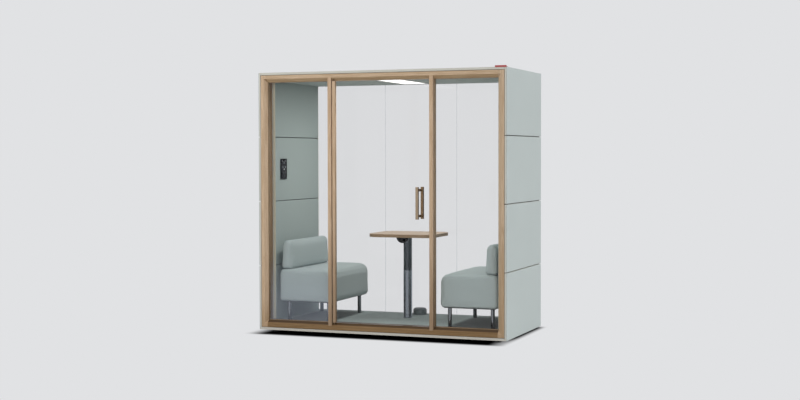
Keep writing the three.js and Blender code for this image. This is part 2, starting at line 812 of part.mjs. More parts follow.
// One seat, built with its back at X = 0 and its nose towards +X
function buildSeat(side, group) {
  const seatTop = carpetTop + seatHeight;
  const plateBottom = carpetTop + restGap + legHeight;
  const plateTop = plateBottom + plateThick;
  const seatBottom = plateTop + restGap;
  const restFront = backrestInset + backrestThick;
  const half = seatWidth / 2;
  const seatOutline = sideOutline(0, seatDepth, seatBottom, seatTop, {
    base: seatBaseRound,
    nose: seatFrontRound,
    rear: seatBackRound,
  });
  const seatMiddle = (seatBottom + seatTop) / 2;
  const seatCushion = softBlock(seatOutline, half, seatEndRound, seatRingCount, (x, y, z) => {
    const along = 1 - (y / half) ** 2;
    const across = THREE.MathUtils.clamp((x - restFront) / (seatDepth - restFront), 0, 1);
    const onTop = THREE.MathUtils.clamp((z - seatMiddle) / (seatTop - seatMiddle), 0, 1);
    const upright = 1 - ((z - seatMiddle) / (seatTop - seatMiddle)) ** 2;
    const drawn = seatDrawIn * Math.max(upright, 0);
    const towards = x > seatDepth / 2 ? -drawn * along : 0;
    const inwards = -Math.sign(y) * drawn * (Math.abs(y) / half) ** 4;
    return [x + towards, y + inwards, z + seatCrown * 4 * across * (1 - across) * along * onTop ** 3];
  });
  addPiece(`${side}_seat_cushion`, seatCushion, 'upholstery', group);

  const restBottom = seatTop + restGap;
  const restTop = restBottom + backrestHeight;
  const restHalf = half - backrestEndGap;
  const restMiddle = backrestInset + backrestThick / 2;
  const backOutline = sideOutline(backrestInset, restFront, restBottom, restTop, {
    base: backrestBaseRound,
    nose: backrestTopRound,
    rear: backrestTopRound,
  });
  const backCushion = softBlock(backOutline, restHalf, backrestEndRound, backrestRingCount, (x, y, z) => {
    const rise = (z - restBottom) / backrestHeight;
    const along = 1 - (y / restHalf) ** 2;
    const swell = 4 * rise * (1 - rise) * along * backrestCrown;
    const narrowed = 1 - (backrestTaper * rise) / backrestThick;
    const ends = 1 - (backrestTaper * rise) / restHalf;
    const out = ((x - restMiddle) * 2) / backrestThick;
    return [restMiddle + (x - restMiddle) * narrowed + out * swell, y * ends, z];
  });
  addPiece(`${side}_back_cushion`, backCushion, 'upholstery', group);

  const plate = block(
    [plateInset, seatDepth - plateInset],
    [plateInset - half, half - plateInset],
    [plateBottom, plateTop],
  );
  const legs = [];
  for (const x of [legBackInset, seatDepth - legFrontInset]) {
    for (const y of [legEndInset - half, half - legEndInset]) {
      legs.push(rod(legRadius, carpetTop + restGap, plateBottom + plateThick / 2).translate(x, y, 0));
    }
  }
  addPiece(`${side}_seat_frame`, join([plate, ...legs]), 'steel', group);
}

function buildSeats() {
  const middle = (seatFrontEnd + seatBackEnd) / 2;
  const left = new THREE.Group();
  left.position.set(leftSeatGap - linerInner, middle, 0);
  const right = new THREE.Group();
  right.position.set(linerInner - rightSeatGap, middle, 0);
  right.rotation.z = Math.PI;
  pod.add(left, right);
  buildSeat('left', left);
  buildSeat('right', right);
}

// Table, its column and the power bowl under the top
function buildTable() {
  const table = new THREE.Group();
  table.position.set(0, tableBack, 0);
  pod.add(table);
  const topHigh = carpetTop + tableHeight;
  const topLow = topHigh - tableThick;
  const top = easedPlate(tableWidth, tableDepth, tableThick, tableCorner, tableEdge, tableCornerCount);
  addPiece('table_top', top.translate(tableAside, 0, topLow), 'oak', table);
  const headTop = topLow - restGap;
  const headLow = headTop - headThick;
  const columnFoot = deckTop + restGap;
  const column = turned([
    [0, columnFoot],
    [columnRadius, columnFoot],
    [columnRadius, headLow],
    [headRadius, headLow],
    [headRadius, headTop],
    [0, headTop],
  ]);
  addPiece('table_column', column, 'darkSteel', table);
  const bowl = [];
  for (let i = 0; i <= domeStepCount; i += 1) {
    const turn = ((i / domeStepCount) * Math.PI) / 2;
    bowl.push([bowlRadius * Math.sin(turn), -bowlRadius * Math.cos(turn)]);
  }
  bowl.push([0, 0]);
  addPiece('power_bowl', turned(bowl), 'blackPlastic', table).position.set(0, -bowlForward, headTop);
}

// Round hood over the power inlet, on the carpet in front of the back glass
function buildInletHood() {
  const hood = [[0, 0], [hoodRadius, 0]];
  for (let i = 0; i <= domeStepCount; i += 1) {
    const turn = ((i / domeStepCount) * Math.PI) / 2;
    const inset = hoodRound * (1 - Math.cos(turn));
    const drop = hoodRound * (1 - Math.sin(turn));
    hood.push([hoodRadius - inset, hoodHeight - drop]);
  }
  hood.push([0, hoodHeight]);
  const y = channelFront - hoodGlassGap - hoodRadius;
  addPiece('power_inlet_hood', turned(hood), 'blackPlastic').position.set(hoodAside, y, carpetTop + restGap);
}

// Control panel on the left liner: a plate with push buttons in pockets
function buildControlPanel() {
  const panel = new THREE.Group();
  panel.position.set(-linerInner + restGap, controlY, controlMiddle);
  panel.rotation.set(Math.PI / 2, Math.PI / 2, 0);
  pod.add(panel);
  const centres = [];
  for (let i = 0; i < buttonCount; i += 1) {
    const turn = Math.PI / 2 + (i * 2 * Math.PI) / buttonCount;
    centres.push([buttonRing * Math.cos(turn), buttonRise + buttonRing * Math.sin(turn)]);
  }
  const pocketFloor = controlThick - buttonPocket;
  const plate = easedPlate(controlWidth, controlHeight, controlThick, controlCorner, controlEdge);
  const pockets = centres.map(([x, y]) =>
    rod(buttonRadius + buttonPlay, pocketFloor, controlThick + restGap).translate(x, y, 0));
  addPiece('control_panel', cut(plate, pockets), 'blackPlastic', panel);
  const low = pocketFloor + buttonTravel + buttonFloorGap;
  centres.forEach(([x, y], i) => {
    const button = rod(buttonRadius, low, controlThick + buttonProud);
    addPiece(`control_button_${i + 1}`, button, 'palePlastic', panel).position.set(x, y, 0);
  });
}

// Blank tab on the roof's front edge: a front plate with a clip leg on top
function buildTab() {
  const faceBack = front - restGap;
  const faceFront = faceBack - tabThick;
  const legBottom = podHeight + restGap;
  const outline = [
    [faceFront, podHeight - tabDrop],
    [faceBack, podHeight - tabDrop],
    [faceBack, legBottom],
    [front + tabLeg, legBottom],
    [front + tabLeg, legBottom + tabThick],
    [faceBack, legBottom + tabThick],
    [faceBack, podHeight + tabRise],
    [faceFront, podHeight + tabRise],
  ];
  const right = podWidth / 2 - tabInset;
  addPiece('edge_tab', sweptAcross(outline, right - tabWidth, right), 'tab');
}

buildBaseAndRoof();
buildWalls();
buildCeiling();
buildFrontFrame();
buildDoor();
buildBackGlass();
buildSeats();
buildTable();
buildInletHood();
buildControlPanel();
buildTab();

export default pod;
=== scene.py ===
# %% [markdown]
# # Dressing an acoustic office pod
# The pod is a small glazed room for two people: upholstered walls, an oak front with a glass door, two
# seats and a table. The CAD model arrives as a fixed frame, and this lesson gives each of its pieces
# the shape and the finish of the real thing. Lengths are metres in the frame's own axes: X runs along
# the front, Y goes into the pod and Z is up.

# %% Load the frame
import json
import math

import bmesh
import bpy
from mathutils import Matrix, Vector, noise

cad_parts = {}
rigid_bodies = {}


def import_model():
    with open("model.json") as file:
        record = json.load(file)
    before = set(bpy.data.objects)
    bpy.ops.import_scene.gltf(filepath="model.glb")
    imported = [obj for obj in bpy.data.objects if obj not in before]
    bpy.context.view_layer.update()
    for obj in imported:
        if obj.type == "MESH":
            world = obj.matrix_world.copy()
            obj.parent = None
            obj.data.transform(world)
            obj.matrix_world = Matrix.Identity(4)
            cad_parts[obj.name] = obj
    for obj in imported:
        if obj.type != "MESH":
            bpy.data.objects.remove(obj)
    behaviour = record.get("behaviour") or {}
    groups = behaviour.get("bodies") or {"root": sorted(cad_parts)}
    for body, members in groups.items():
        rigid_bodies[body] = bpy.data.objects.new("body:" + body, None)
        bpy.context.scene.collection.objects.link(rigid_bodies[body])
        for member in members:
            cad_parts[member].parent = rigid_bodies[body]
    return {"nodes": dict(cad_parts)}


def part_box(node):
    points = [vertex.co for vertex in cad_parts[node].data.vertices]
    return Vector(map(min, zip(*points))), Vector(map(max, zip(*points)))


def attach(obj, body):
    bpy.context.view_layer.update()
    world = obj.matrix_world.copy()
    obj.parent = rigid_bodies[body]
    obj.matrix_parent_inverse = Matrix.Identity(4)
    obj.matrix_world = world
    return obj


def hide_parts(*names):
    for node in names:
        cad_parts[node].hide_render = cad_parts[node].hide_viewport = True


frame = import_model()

MM = 0.001
scene = bpy.context.scene


def rounded(values):
    """Lengths to the nearest millimetre, for printing."""
    return [round(value, 3) for value in values]


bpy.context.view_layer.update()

# %% [markdown]
# ## The camera
# The view is a long lens from the front right, at the height of a standing person's eyes, and it looks
# down a little. The lens and the place were found by fitting a pinhole camera to the pod's straight
# edges, so they are written as they came out of that fit, in metres and degrees.

# %% Set up the camera
camera_spot = Vector((4.1587, -10.8078, 1.5031))
camera_turn = 21.039
camera_dip = 1.8915
camera_roll = -0.11
camera_lens = 61.126
camera_data = bpy.data.cameras.new("photo_camera")
camera_data.sensor_fit = "HORIZONTAL"
camera_data.sensor_width = 36
camera_data.lens = camera_lens
camera = bpy.data.objects.new("photo_camera", camera_data)
camera.matrix_world = (
    Matrix.Translation(camera_spot)
    @ Matrix.Rotation(math.radians(camera_turn), 4, "Z")
    @ Matrix.Rotation(math.radians(90 - camera_dip), 4, "X")
    @ Matrix.Rotation(math.radians(camera_roll), 4, "Z")
)
scene.collection.objects.link(camera)
scene.camera = camera
scene.view_settings.view_transform = "Standard"
print("camera", camera_lens, "mm lens at", rounded(camera_spot))

# %% [markdown]
# ## Shader sums
# A finish is a small sum over the surface: so much of one colour where the thread rises, so much of
# another where it dips. Wiring that by hand takes dozens of nodes. The class below wraps one socket,
# so that plain Python signs add the nodes, and one method makes every other kind of node.

# %% Wrap a socket
class Wire:
    """One shader socket that takes part in Python sums."""

    def __init__(self, tree, socket):
        self.tree = tree
        self.socket = socket

    def node(self, kind, settings=(), inputs=(), output=0):
        """Add a node: first its settings, then the values or wires of its sockets."""
        made = self.tree.nodes.new("ShaderNode" + kind)
        for name, value in dict(settings).items():
            setattr(made, name, value)
        for key, value in dict(inputs).items():
            if isinstance(value, Wire):
                self.tree.links.new(value.socket, made.inputs[key])
            else:
                made.inputs[key].default_value = value
        return Wire(self.tree, made.outputs[output])

    def sum(self, operation, first, second=0.0):
        """One Math node."""
        return self.node("Math", {"operation": operation}, {0: first, 1: second})

    def __add__(self, other):
        return self.sum("ADD", self, other)

    def __radd__(self, other):
        return self.sum("ADD", other, self)

    def __sub__(self, other):
        return self.sum("SUBTRACT", self, other)

    def __rsub__(self, other):
        return self.sum("SUBTRACT", other, self)

    def __mul__(self, other):
        return self.sum("MULTIPLY", self, other)

    def __rmul__(self, other):
        return self.sum("MULTIPLY", other, self)

    def __pow__(self, other):
        return self.sum("POWER", self, other)

    def sine(self):
        """The sine of a value in radians."""
        return self.sum("SINE", self)

    def larger(self, other):
        """The larger of two values."""
        return self.sum("MAXIMUM", self, other)

    def fade(self, low, high):
        """0 below low, 1 above high, and a smooth step between them."""
        limits = {0: self, 1: low, 2: high, 3: 0.0, 4: 1.0}
        return self.node("MapRange", {"interpolation_type": "SMOOTHSTEP"}, limits)

    def within(self, rise, fall):
        """1 between a rising and a falling fade, 0 outside them."""
        return self.fade(*rise) * (1 - self.fade(*fall))

    def between(self, first, second):
        """The first colour where this value is 0, the second where it is 1."""
        return self.node("Mix", {"data_type": "RGBA"}, {0: self, 6: first, 7: second}, 2)

    def vector(self, operation, other=(0.0, 0.0, 0.0), output=0):
        """One Vector Math node."""
        return self.node("VectorMath", {"operation": operation}, {0: self, 1: other}, output)

    def along(self, axis):
        """One of a vector's three values."""
        return self.node("SeparateXYZ", (), {0: self}, axis)

    def ray(self, kind):
        """1 for light rays of this kind, 0 for others."""
        return self.node("LightPath", (), (), f"Is {kind} Ray")

    def cloud(self, scale, detail=2.0, roughness=0.5):
        """Soft noise, read at this place, about 0.5 on average."""
        values = {"Vector": self, "Scale": scale, "Detail": detail, "Roughness": roughness}
        return self.node("TexNoise", {"noise_dimensions": "3D"}, values)

    def cells(self, scale, output="Distance"):
        """Rounded cells, read at this place."""
        return self.node("TexVoronoi", {"feature": "F1"}, {"Vector": self, "Scale": scale}, output)

    def bump(self, depth, strength=1.0):
        """A surface that rises by depth where this value is 1."""
        return self.node("Bump", (), {"Height": self, "Distance": depth, "Strength": strength})


print("sums ready:", [name for name in vars(Wire) if name.startswith("__r")])

# %% [markdown]
# ## Colours and finishes
# Paint colours are easiest to think of as screen values from 0 to 255, but shaders work in linear
# light, so one function converts them. Another makes a finish: it takes what is the same all over,
# set on the shader's own sockets, and a pattern function that gets the place on the piece and returns
# what changes over the surface. A last function may mix the shader with another one.

# %% Colour and finish helpers
def screen(red, green, blue):
    """A colour in screen values, as linear light."""
    linear = []
    for value in (red, green, blue):
        share = value / 255
        linear.append(share / 12.92 if share <= 0.04045 else ((share + 0.055) / 1.055) ** 2.4)
    return (*linear, 1.0)


def make_finish(name, fixed, pattern, mix=None):
    """A material whose pattern is read at the place on the piece, in metres."""
    finish = bpy.data.materials.new(name)
    finish.use_nodes = True
    tree = finish.node_tree
    shader = tree.nodes["Principled BSDF"]
    for socket, value in fixed.items():
        shader.inputs[socket].default_value = value
    spot = Wire(tree, tree.nodes.new("ShaderNodeTexCoord").outputs["Object"])
    for socket, wire in pattern(spot).items():
        tree.links.new(wire.socket, shader.inputs[socket])
    if mix:
        surface = mix(spot, Wire(tree, shader.outputs["BSDF"]))
        tree.links.new(surface.socket, tree.nodes["Material Output"].inputs["Surface"])
    print("finish", name, "with", len(tree.nodes), "nodes")
    return finish


# %% [markdown]
# ## Woven cloth
# The outer walls, the seats and the tab are covered in plain-woven cloth. A picture of cloth would
# need unwrapped surfaces. Three sine waves, one along each axis, need none: on any face two of them
# cross and make the over-and-under of warp and weft. A soft noise mixes two yarn colours, and a
# second, larger one gives the slight unevenness of dyed wool.

# %% Weave
def weave(spot, pitch):
    """The height of crossing threads, from 0 to 1."""
    turn = 2 * math.pi / pitch
    waves = [(spot.along(axis) * turn).sine() for axis in range(3)]
    return (waves[0] * waves[1] + waves[1] * waves[2] + waves[2] * waves[0]) * 0.25 + 0.5


def cloth_finish(name, pale, dark, pitch, sheen=0.1, depth=0.35 * MM):
    """Woven wool in two yarn colours."""
    def pattern(spot):
        threads = weave(spot, pitch)
        yarn = spot.cloud(0.45 / pitch, 3.0, 0.6)
        dye = spot.cloud(2.5, 2.0)
        share = (threads * 0.45 + yarn * 0.65 + dye * 0.2 - 0.25).fade(0.05, 0.85)
        height = threads * 0.7 + yarn * 0.5
        return {
            "Base Color": share.between(screen(*dark), screen(*pale)),
            "Roughness": 0.82 + yarn * 0.12,
            "Normal": height.bump(depth, 0.6),
        }
    fixed = {"Specular IOR Level": 0.25, "Sheen Weight": sheen, "Sheen Roughness": 0.5}
    return make_finish(name, fixed, pattern)


shell_cloth = cloth_finish("shell_cloth", (196, 205, 204), (178, 187, 186), 2.2 * MM)
seat_cloth = cloth_finish("seat_cloth", (187, 199, 198), (166, 178, 177), 2.6 * MM)
tab_cloth = cloth_finish("tab_cloth", (190, 102, 101), (164, 80, 81), 1.2 * MM)

# %% [markdown]
# ## Felt and carpet
# The inner walls and the ceiling are faced with pressed felt, which has no threads, only fibres that
# lie every way. Noise stretched along two directions gives them. The carpet is a short loop pile:
# rounded cells a few millimetres across, each with a slightly different shade. Under each seat it is
# painted darker, as painted shade where the seat keeps the ceiling light off it.

# %% Felt and carpet finishes
def felt_finish(name, pale, dark):
    """Pressed wool with fibres that lie every way."""
    def pattern(spot):
        upright = spot.vector("MULTIPLY", (900, 900, 160)).cloud(1.0, 2.0)
        flat = spot.vector("MULTIPLY", (900, 160, 900)).cloud(1.0, 2.0)
        fibres = upright.larger(flat)
        share = (fibres * 1.4 - 0.4).fade(0.0, 0.9)
        return {
            "Base Color": share.between(screen(*dark), screen(*pale)),
            "Roughness": 0.86 + fibres * 0.1,
            "Normal": fibres.bump(0.4 * MM, 0.5),
        }
    fixed = {"Specular IOR Level": 0.2, "Sheen Weight": 0.1, "Sheen Roughness": 0.6}
    return make_finish(name, fixed, pattern)


under_seat_shade_edge = 60 * MM
loops_per_metre = 240.0


def under_seat_shade(spot, node):
    """1 on the carpet under one cushion, where painted shade falls, 0 in the open."""
    low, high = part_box(node)
    masks = []
    for axis in (0, 1):
        rise = (low[axis], low[axis] + under_seat_shade_edge)
        fall = (high[axis] - under_seat_shade_edge, high[axis])
        masks.append(spot.along(axis).within(rise, fall))
    return masks[0] * masks[1]


def carpet_pattern(spot):
    """Loops in a flecked grey, with painted shade under the seats."""
    loops = spot.cells(loops_per_metre)
    shade = spot.cells(loops_per_metre, "Color").along(0)
    worn = spot.cloud(3.0, 2.0)
    share = (shade * 0.8 + worn * 0.2).fade(0.1, 0.9)
    open_pile = share.between(screen(140, 154, 152), screen(172, 186, 183))
    # The darker pile colour is painted shade under the seats.
    fresh = share.between(screen(84, 95, 93), screen(104, 115, 113))
    seat_shade_mask = under_seat_shade(spot, "left_seat_cushion") + under_seat_shade(spot, "right_seat_cushion")
    return {
        "Base Color": seat_shade_mask.between(open_pile, fresh),
        "Roughness": 0.88 + shade * 0.1,
        "Normal": (1 - loops).bump(2.0 * MM, 0.8),
    }


liner_felt = felt_finish("liner_felt", (179, 191, 187), (160, 173, 170))
# The ceiling's felt is painted lighter than the walls', as painted light.
lit_ceiling_felt = felt_finish("lit_ceiling_felt", (198, 208, 203), (180, 190, 185))
carpet_sheen = {"Specular IOR Level": 0.15, "Sheen Weight": 0.2}
carpet_pile = make_finish("carpet_pile", carpet_sheen, carpet_pattern)

# %% [markdown]
# ## Oak
# The front frame, the handles and the table top are oak with a matt lacquer. Oak shows three things at
# once: broad bands of early and late wood, fine streaks that run with the board, and short dark pores.
# Each is noise stretched along the board, so one function takes the direction of the grain. Some
# tones are painted shade: the sill is painted darker, darkest over its top, and so are the sides of
# the left post, the underside of the head, the inner handle and the right sides of the handle bars.
# The uprights are painted darker towards the floor, most of all beside the door, as painted shade.
# The outer handle is grey from hands.

# %% Oak finishes
foot_shade_floor = 0.1
foot_shade_share = 0.55
top_shade_edge = 2 * MM


def oak_finish(name, grain_axis, pale=(209, 184, 156), dark=(176, 148, 118), pore=(128, 98, 70),
               top_shade=None, foot=None):
    """Lacquered oak with its grain along one axis, in three screen colours.

    A painted shade covers what is above a height. Another painted shade comes in slowly below a height.
    """
    def stretched(spot, across, lengthways):
        factors = [across] * 3
        factors[grain_axis] = lengthways
        return spot.vector("MULTIPLY", factors)

    def pattern(spot):
        bands = stretched(spot, 22.0, 0.9).cloud(1.0, 3.0, 0.55)
        rings = (bands * 55).sine() * 0.5 + 0.5
        streaks = stretched(spot, 260.0, 5.0).cloud(1.0, 4.0, 0.6)
        pores = stretched(spot, 1500.0, 45.0).cloud(1.0, 1.0).fade(0.58, 0.7)
        share = (rings * 0.3 + streaks * 0.8 + bands * 0.4 - 0.25).fade(0.05, 0.95)
        wood = share.between(screen(*dark), screen(*pale))
        # Painted shade over the top of the piece, above a height.
        if top_shade:
            height, tone = top_shade
            wood = spot.along(2).fade(height, height + top_shade_edge).between(wood, screen(*tone))
        # Painted shade, darker towards the floor.
        if foot:
            height, tone = foot
            lowness = 1 - spot.along(2).fade(foot_shade_floor, height)
            wood = (lowness * foot_shade_share).between(wood, screen(*tone))
        return {
            "Base Color": (pores * 0.45).between(wood, screen(*pore)),
            "Roughness": 0.42 + streaks * 0.16,
            "Normal": (streaks * 0.4 - pores).bump(0.15 * MM, 0.6),
        }
    return make_finish(name, {"Specular IOR Level": 0.4}, pattern)


# The foot tones are painted shade: the uprights get darker towards the floor, most of all beside the
# door.
foot_shade_mid = (150, 122, 88)
foot_shade_deep = (88, 62, 36)
# Painted shade: the whole sill is a darker oak, and its top above the face is darker still.
sill_top_shade = (0.088, (74, 54, 32))
upright_oak = oak_finish("upright_oak", 2, foot=(0.35, foot_shade_mid))
doorway_oak = oak_finish("doorway_oak", 2, foot=(1.2, foot_shade_deep))
shaded_oak = oak_finish("shaded_oak", 2, (203, 180, 153), (171, 146, 118), foot=(1.2, foot_shade_mid))
# Painted shade for the sides of the left post and for the inner handle behind the glass.
side_shade_oak = oak_finish("side_shade_oak", 2, (148, 122, 92), (122, 95, 66), (90, 66, 43))
level_oak = oak_finish("level_oak", 0, (204, 180, 152), (171, 144, 114))
# Painted shade for the underside of the head.
head_shade_oak = oak_finish("head_shade_oak", 0, (192, 165, 130), (161, 132, 98), (116, 86, 56))
sill_shade_oak = oak_finish("sill_shade_oak", 0, (138, 111, 77), (115, 88, 54), (84, 59, 36), sill_top_shade)
pull_oak = oak_finish("pull_oak", 2, (170, 152, 129), (144, 124, 100), (104, 86, 66))
# Painted shade for the right sides of the handle bars.
handle_side_shade_oak = oak_finish("handle_side_shade_oak", 2, (88, 70, 54), (66, 50, 38), (48, 36, 26))
table_oak = oak_finish("table_oak", 0, (186, 166, 145), (161, 139, 116), (124, 101, 79))
# Painted shade for the table's edge.
table_edge_shade_oak = oak_finish("table_edge_shade_oak", 0, (163, 138, 109), (137, 113, 85), (102, 81, 58))

# %% [markdown]
# ## Board, metals, plastics and rubber
# The shell's boards are painted a warm pale grey, with the faint orange peel of a sprayed coat. The
# metals are brushed, so their fine lines run one way. Moulded plastics have a spark-eroded texture and
# rubber has a dusty bloom. One function covers them: a base colour, a fleck, and a roughness that
# follows the same noise.

# %% Hard finishes
def hard_finish(name, base, fleck, roughness, grain=(400,) * 3, metal=0.0, depth=0.05 * MM, specular=0.5):
    """A sprayed, brushed or moulded surface. grain gives the noise's fineness along X, Y and Z."""
    def pattern(spot):
        fine = spot.vector("MULTIPLY", grain).cloud(1.0, 2.0)
        broad = spot.cloud(4.0, 3.0)
        share = (fine * 0.7 + broad * 0.6 - 0.3).fade(0.1, 0.65)
        return {
            "Base Color": share.between(screen(*fleck), screen(*base)),
            "Roughness": roughness * 0.8 + share * (roughness * 0.4),
            "Normal": fine.bump(depth, 0.5),
        }
    return make_finish(name, {"Metallic": metal, "Specular IOR Level": specular}, pattern)


pale_board = hard_finish("pale_board", (200, 199, 190), (188, 187, 177), 0.5)
base_board = hard_finish("base_board", (196, 193, 185), (184, 181, 172), 0.5)
edge_band = hard_finish("edge_band", (203, 198, 177), (193, 188, 166), 0.45)
dark_board = hard_finish("dark_board", (40, 40, 40), (31, 31, 31), 0.5)
leg_chrome = hard_finish("leg_chrome", (136, 139, 143), (122, 125, 129), 0.1,
                         grain=(900, 900, 30), metal=1.0, depth=0.01 * MM)
sleeve_steel = hard_finish("sleeve_steel", (148, 155, 162), (133, 140, 147), 0.25,
                           grain=(1200, 1200, 90), metal=1.0, depth=0.02 * MM)
tube_steel = hard_finish("tube_steel", (86, 92, 96), (74, 80, 84), 0.2,
                         grain=(1200, 1200, 90), metal=1.0, depth=0.02 * MM)
bronze = hard_finish("bronze", (120, 98, 76), (98, 78, 58), 0.4, metal=0.6)
satin_aluminium = hard_finish("satin_aluminium", (205, 206, 207), (186, 187, 189), 0.34,
                              grain=(40, 900, 900), metal=1.0, depth=0.02 * MM)
black_plastic = hard_finish("black_plastic", (18, 19, 20), (13, 14, 15), 0.55,
                            grain=(1500,) * 3, specular=0.1)
pale_plastic = hard_finish("pale_plastic", (208, 210, 211), (196, 198, 200), 0.42,
                           grain=(1500,) * 3)
grey_plastic = hard_finish("grey_plastic", (104, 112, 114), (94, 102, 104), 0.45,
                           grain=(1500,) * 3)
rubber = hard_finish("rubber", (38, 38, 39), (52, 52, 52), 0.7, grain=(700,) * 3)

# %% [markdown]
# ## Glass
# Real glass bends light, but a thin pane in front of a room only tints it and mirrors a little more at
# grazing angles. So the pane is a mix: clear and faintly grey where it is seen straight on, a mirror by
# Schlick's rule towards the edge. A trace of noise stands for the smears of hands and cleaning, and the
# left pane also mirrors the pale floor in its lower part. The seal between back panes is clear too.

# %% Glass finish
veil_heights = (0.25, 0.70)
smear_share = 0.008
schlick_power = 5


def glass_finish(name, tint, mirror, veil=0.0, gloss=(240, 241, 242)):
    """A clear pane that mirrors more as it is seen edge on, and by veil more near the floor."""
    def mirrored(spot, shader):
        edge_on = spot.node("LayerWeight", (), {"Blend": 0.5}, "Facing")
        smears = spot.cloud(3.0, 4.0, 0.65).fade(0.5, 0.8)
        low_part = 1 - spot.along(2).fade(*veil_heights)
        grazing = (1 - mirror) * edge_on ** schlick_power
        share = mirror + smears * smear_share + low_part * veil + grazing
        clear = spot.node("BsdfTransparent", (), {"Color": screen(*tint)})
        return spot.node("MixShader", (), {0: share, 1: clear, 2: shader})
    fixed = {"Base Color": screen(*gloss), "Metallic": 1.0, "Roughness": 0.02}
    return make_finish(name, fixed, lambda spot: {}, mirrored)


clear_glass = glass_finish("clear_glass", (253, 253, 253), 0.012)
left_glass = glass_finish("left_glass", (253, 253, 253), 0.012, 0.075, (214, 224, 240))
clear_seal = glass_finish("clear_seal", (244, 245, 246), 0.02)

# %% [markdown]
# ## The opal light
# The ceiling light is an opal sheet with lamps behind it. It glows evenly, a touch less towards its
# rim. A glowing surface strong enough to light the room would also show as a glare in every pane, so
# the sheet glows only as bright as it looks, and a hidden lamp of its size does the lighting.

# %% Opal finish
light_low, light_high = (Vector(corner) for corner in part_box("light_panel"))
light_middle = (light_low + light_high) / 2
opal_glow = 1.6


def opal_pattern(spot):
    """Brightest over the lamps, a little less at the rim."""
    half = (light_high - light_low) / 2
    shares = (1 / half.x, 1 / half.y, 0.0)
    reach = spot.vector("SUBTRACT", light_middle).vector("MULTIPLY", shares).vector("ABSOLUTE")
    rim = reach.along(0).larger(reach.along(1)).fade(0.8, 1.0)
    prisms = spot.cells(400.0)
    return {
        "Base Color": prisms.between(screen(245, 245, 243), screen(232, 232, 230)),
        "Emission Color": rim.between(screen(255, 253, 248), screen(232, 229, 222)),
    }


opal_light = make_finish("opal_light", {"Emission Strength": opal_glow, "Roughness": 0.4}, opal_pattern)

# %% [markdown]
# ## Studio light, floor and backdrop
# A cut-out product picture has no horizon: the floor and the wall behind melt into one pale grey, and
# only a shadow under the object tells where the floor is. Here the world shows that grey to the camera
# and to mirrors, and lights the scene in its own way: dim at the horizon, so that it stays dark under
# the seats, and brighter above and towards the front. The floor shows the same grey, except for a
# painted shadow where the pod stands close over it.

# %% World
backdrop_grey = screen(225, 226, 228)
horizon_light = 0.05
back_light = 0.8
front_light = 1.0
world = bpy.data.worlds.new("studio")
scene.world = world
world.use_nodes = True
sky_tree = world.node_tree
sky = sky_tree.nodes["Background"]
towards = Wire(sky_tree, sky_tree.nodes.new("ShaderNodeTexCoord").outputs["Generated"])


def seen_ray(wire):
    """1 where the eye, a mirror or a pane looks at the backdrop, 0 for light that bounces about."""
    return wire.ray("Camera").larger(wire.ray("Glossy")).larger(wire.ray("Transmission"))


height = towards.along(2)
sky_start = 0.1
sky_best = 0.45
sky_end = 0.9
zenith_loss = 0.6
raised = height.fade(sky_start, sky_best) * (1 - height.fade(sky_best, sky_end) * zenith_loss)
ahead = (towards.along(1) * -1).fade(-0.5, 0.5)
sky_light = horizon_light + raised * (back_light + ahead * (front_light - back_light))
sky_colour = seen_ray(towards).between(sky_light, backdrop_grey)
sky_tree.links.new(sky_colour.socket, sky.inputs["Color"])
sky.inputs["Strength"].default_value = 1.0
print("world lights from", horizon_light, "to", front_light)

# %% Lamps
def hang_lamp(name, kind, strength, spot, travel=None):
    """A lamp that shines along a direction, or else straight down. Neither eyes nor mirrors see it."""
    lamp = bpy.data.lights.new(name, kind)
    lamp.energy = strength
    holder = bpy.data.objects.new(name, lamp)
    holder.location = spot
    if travel:
        holder.rotation_euler = Vector(travel).to_track_quat("-Z", "Y").to_euler()
    holder.visible_glossy = False
    holder.visible_camera = False
    scene.collection.objects.link(holder)
    print("lamp", name, strength)
    return holder


front_strength = 1.15
front_spread = 30
side_strength = 1.65
side_spread = 40
high_power = 72
high_width = 2.0
middle_spot = (0, 0, 0)
high_spot = (-2.5, -4.5, 4.2)
front_softbox = hang_lamp("front_softbox", "SUN", front_strength, middle_spot, (-0.05, 1.0, -0.04))
front_softbox.data.angle = math.radians(front_spread)
side_softbox = hang_lamp("side_softbox", "SUN", side_strength, middle_spot, (-0.95, -0.25, -0.25))
side_softbox.data.angle = math.radians(side_spread)
high_softbox = hang_lamp("high_softbox", "AREA", high_power, high_spot, (2.2, 4.0, -2.9))
high_softbox.data.size = high_width

# %% Lamp under the opal sheet
opal_power = 12.5
lamp_drop = 6 * MM
opal_spot = (light_middle.x, light_middle.y, light_low.z - lamp_drop)
opal_lamp = hang_lamp("opal_lamp", "AREA", opal_power, opal_spot).data
opal_lamp.shape = "RECTANGLE"
opal_lamp.size = light_high.x - light_low.x
opal_lamp.size_y = light_high.y - light_low.y

# %% Floor
floor_reach = 40.0
floor_mesh = bpy.data.meshes.new("studio_floor")
floor_corners = [(-1, -1, 0), (1, -1, 0), (1, 1, 0), (-1, 1, 0)]
floor_mesh.from_pydata([Vector(corner) * floor_reach for corner in floor_corners], [], [(0, 1, 2, 3)])
floor = bpy.data.objects.new("studio_floor", floor_mesh)
scene.collection.objects.link(floor)
print("floor", 2 * floor_reach, "m square")

# %% Painted contact shadow
base_low, base_high = (Vector(corner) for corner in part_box("base_panel"))
left_fade = (base_low.x - 0.130, base_low.x + 0.070)
right_fade = (base_high.x - 0.030, base_high.x + 0.050)
front_fade = (base_low.y - 0.165, base_low.y - 0.065)
back_fade = (base_high.y + 0.050, base_high.y + 0.200)
corner_across = (base_high.x - 0.130, base_high.x)
corner_deep = (base_low.y, base_low.y + 0.450)
corner_light = 0.5


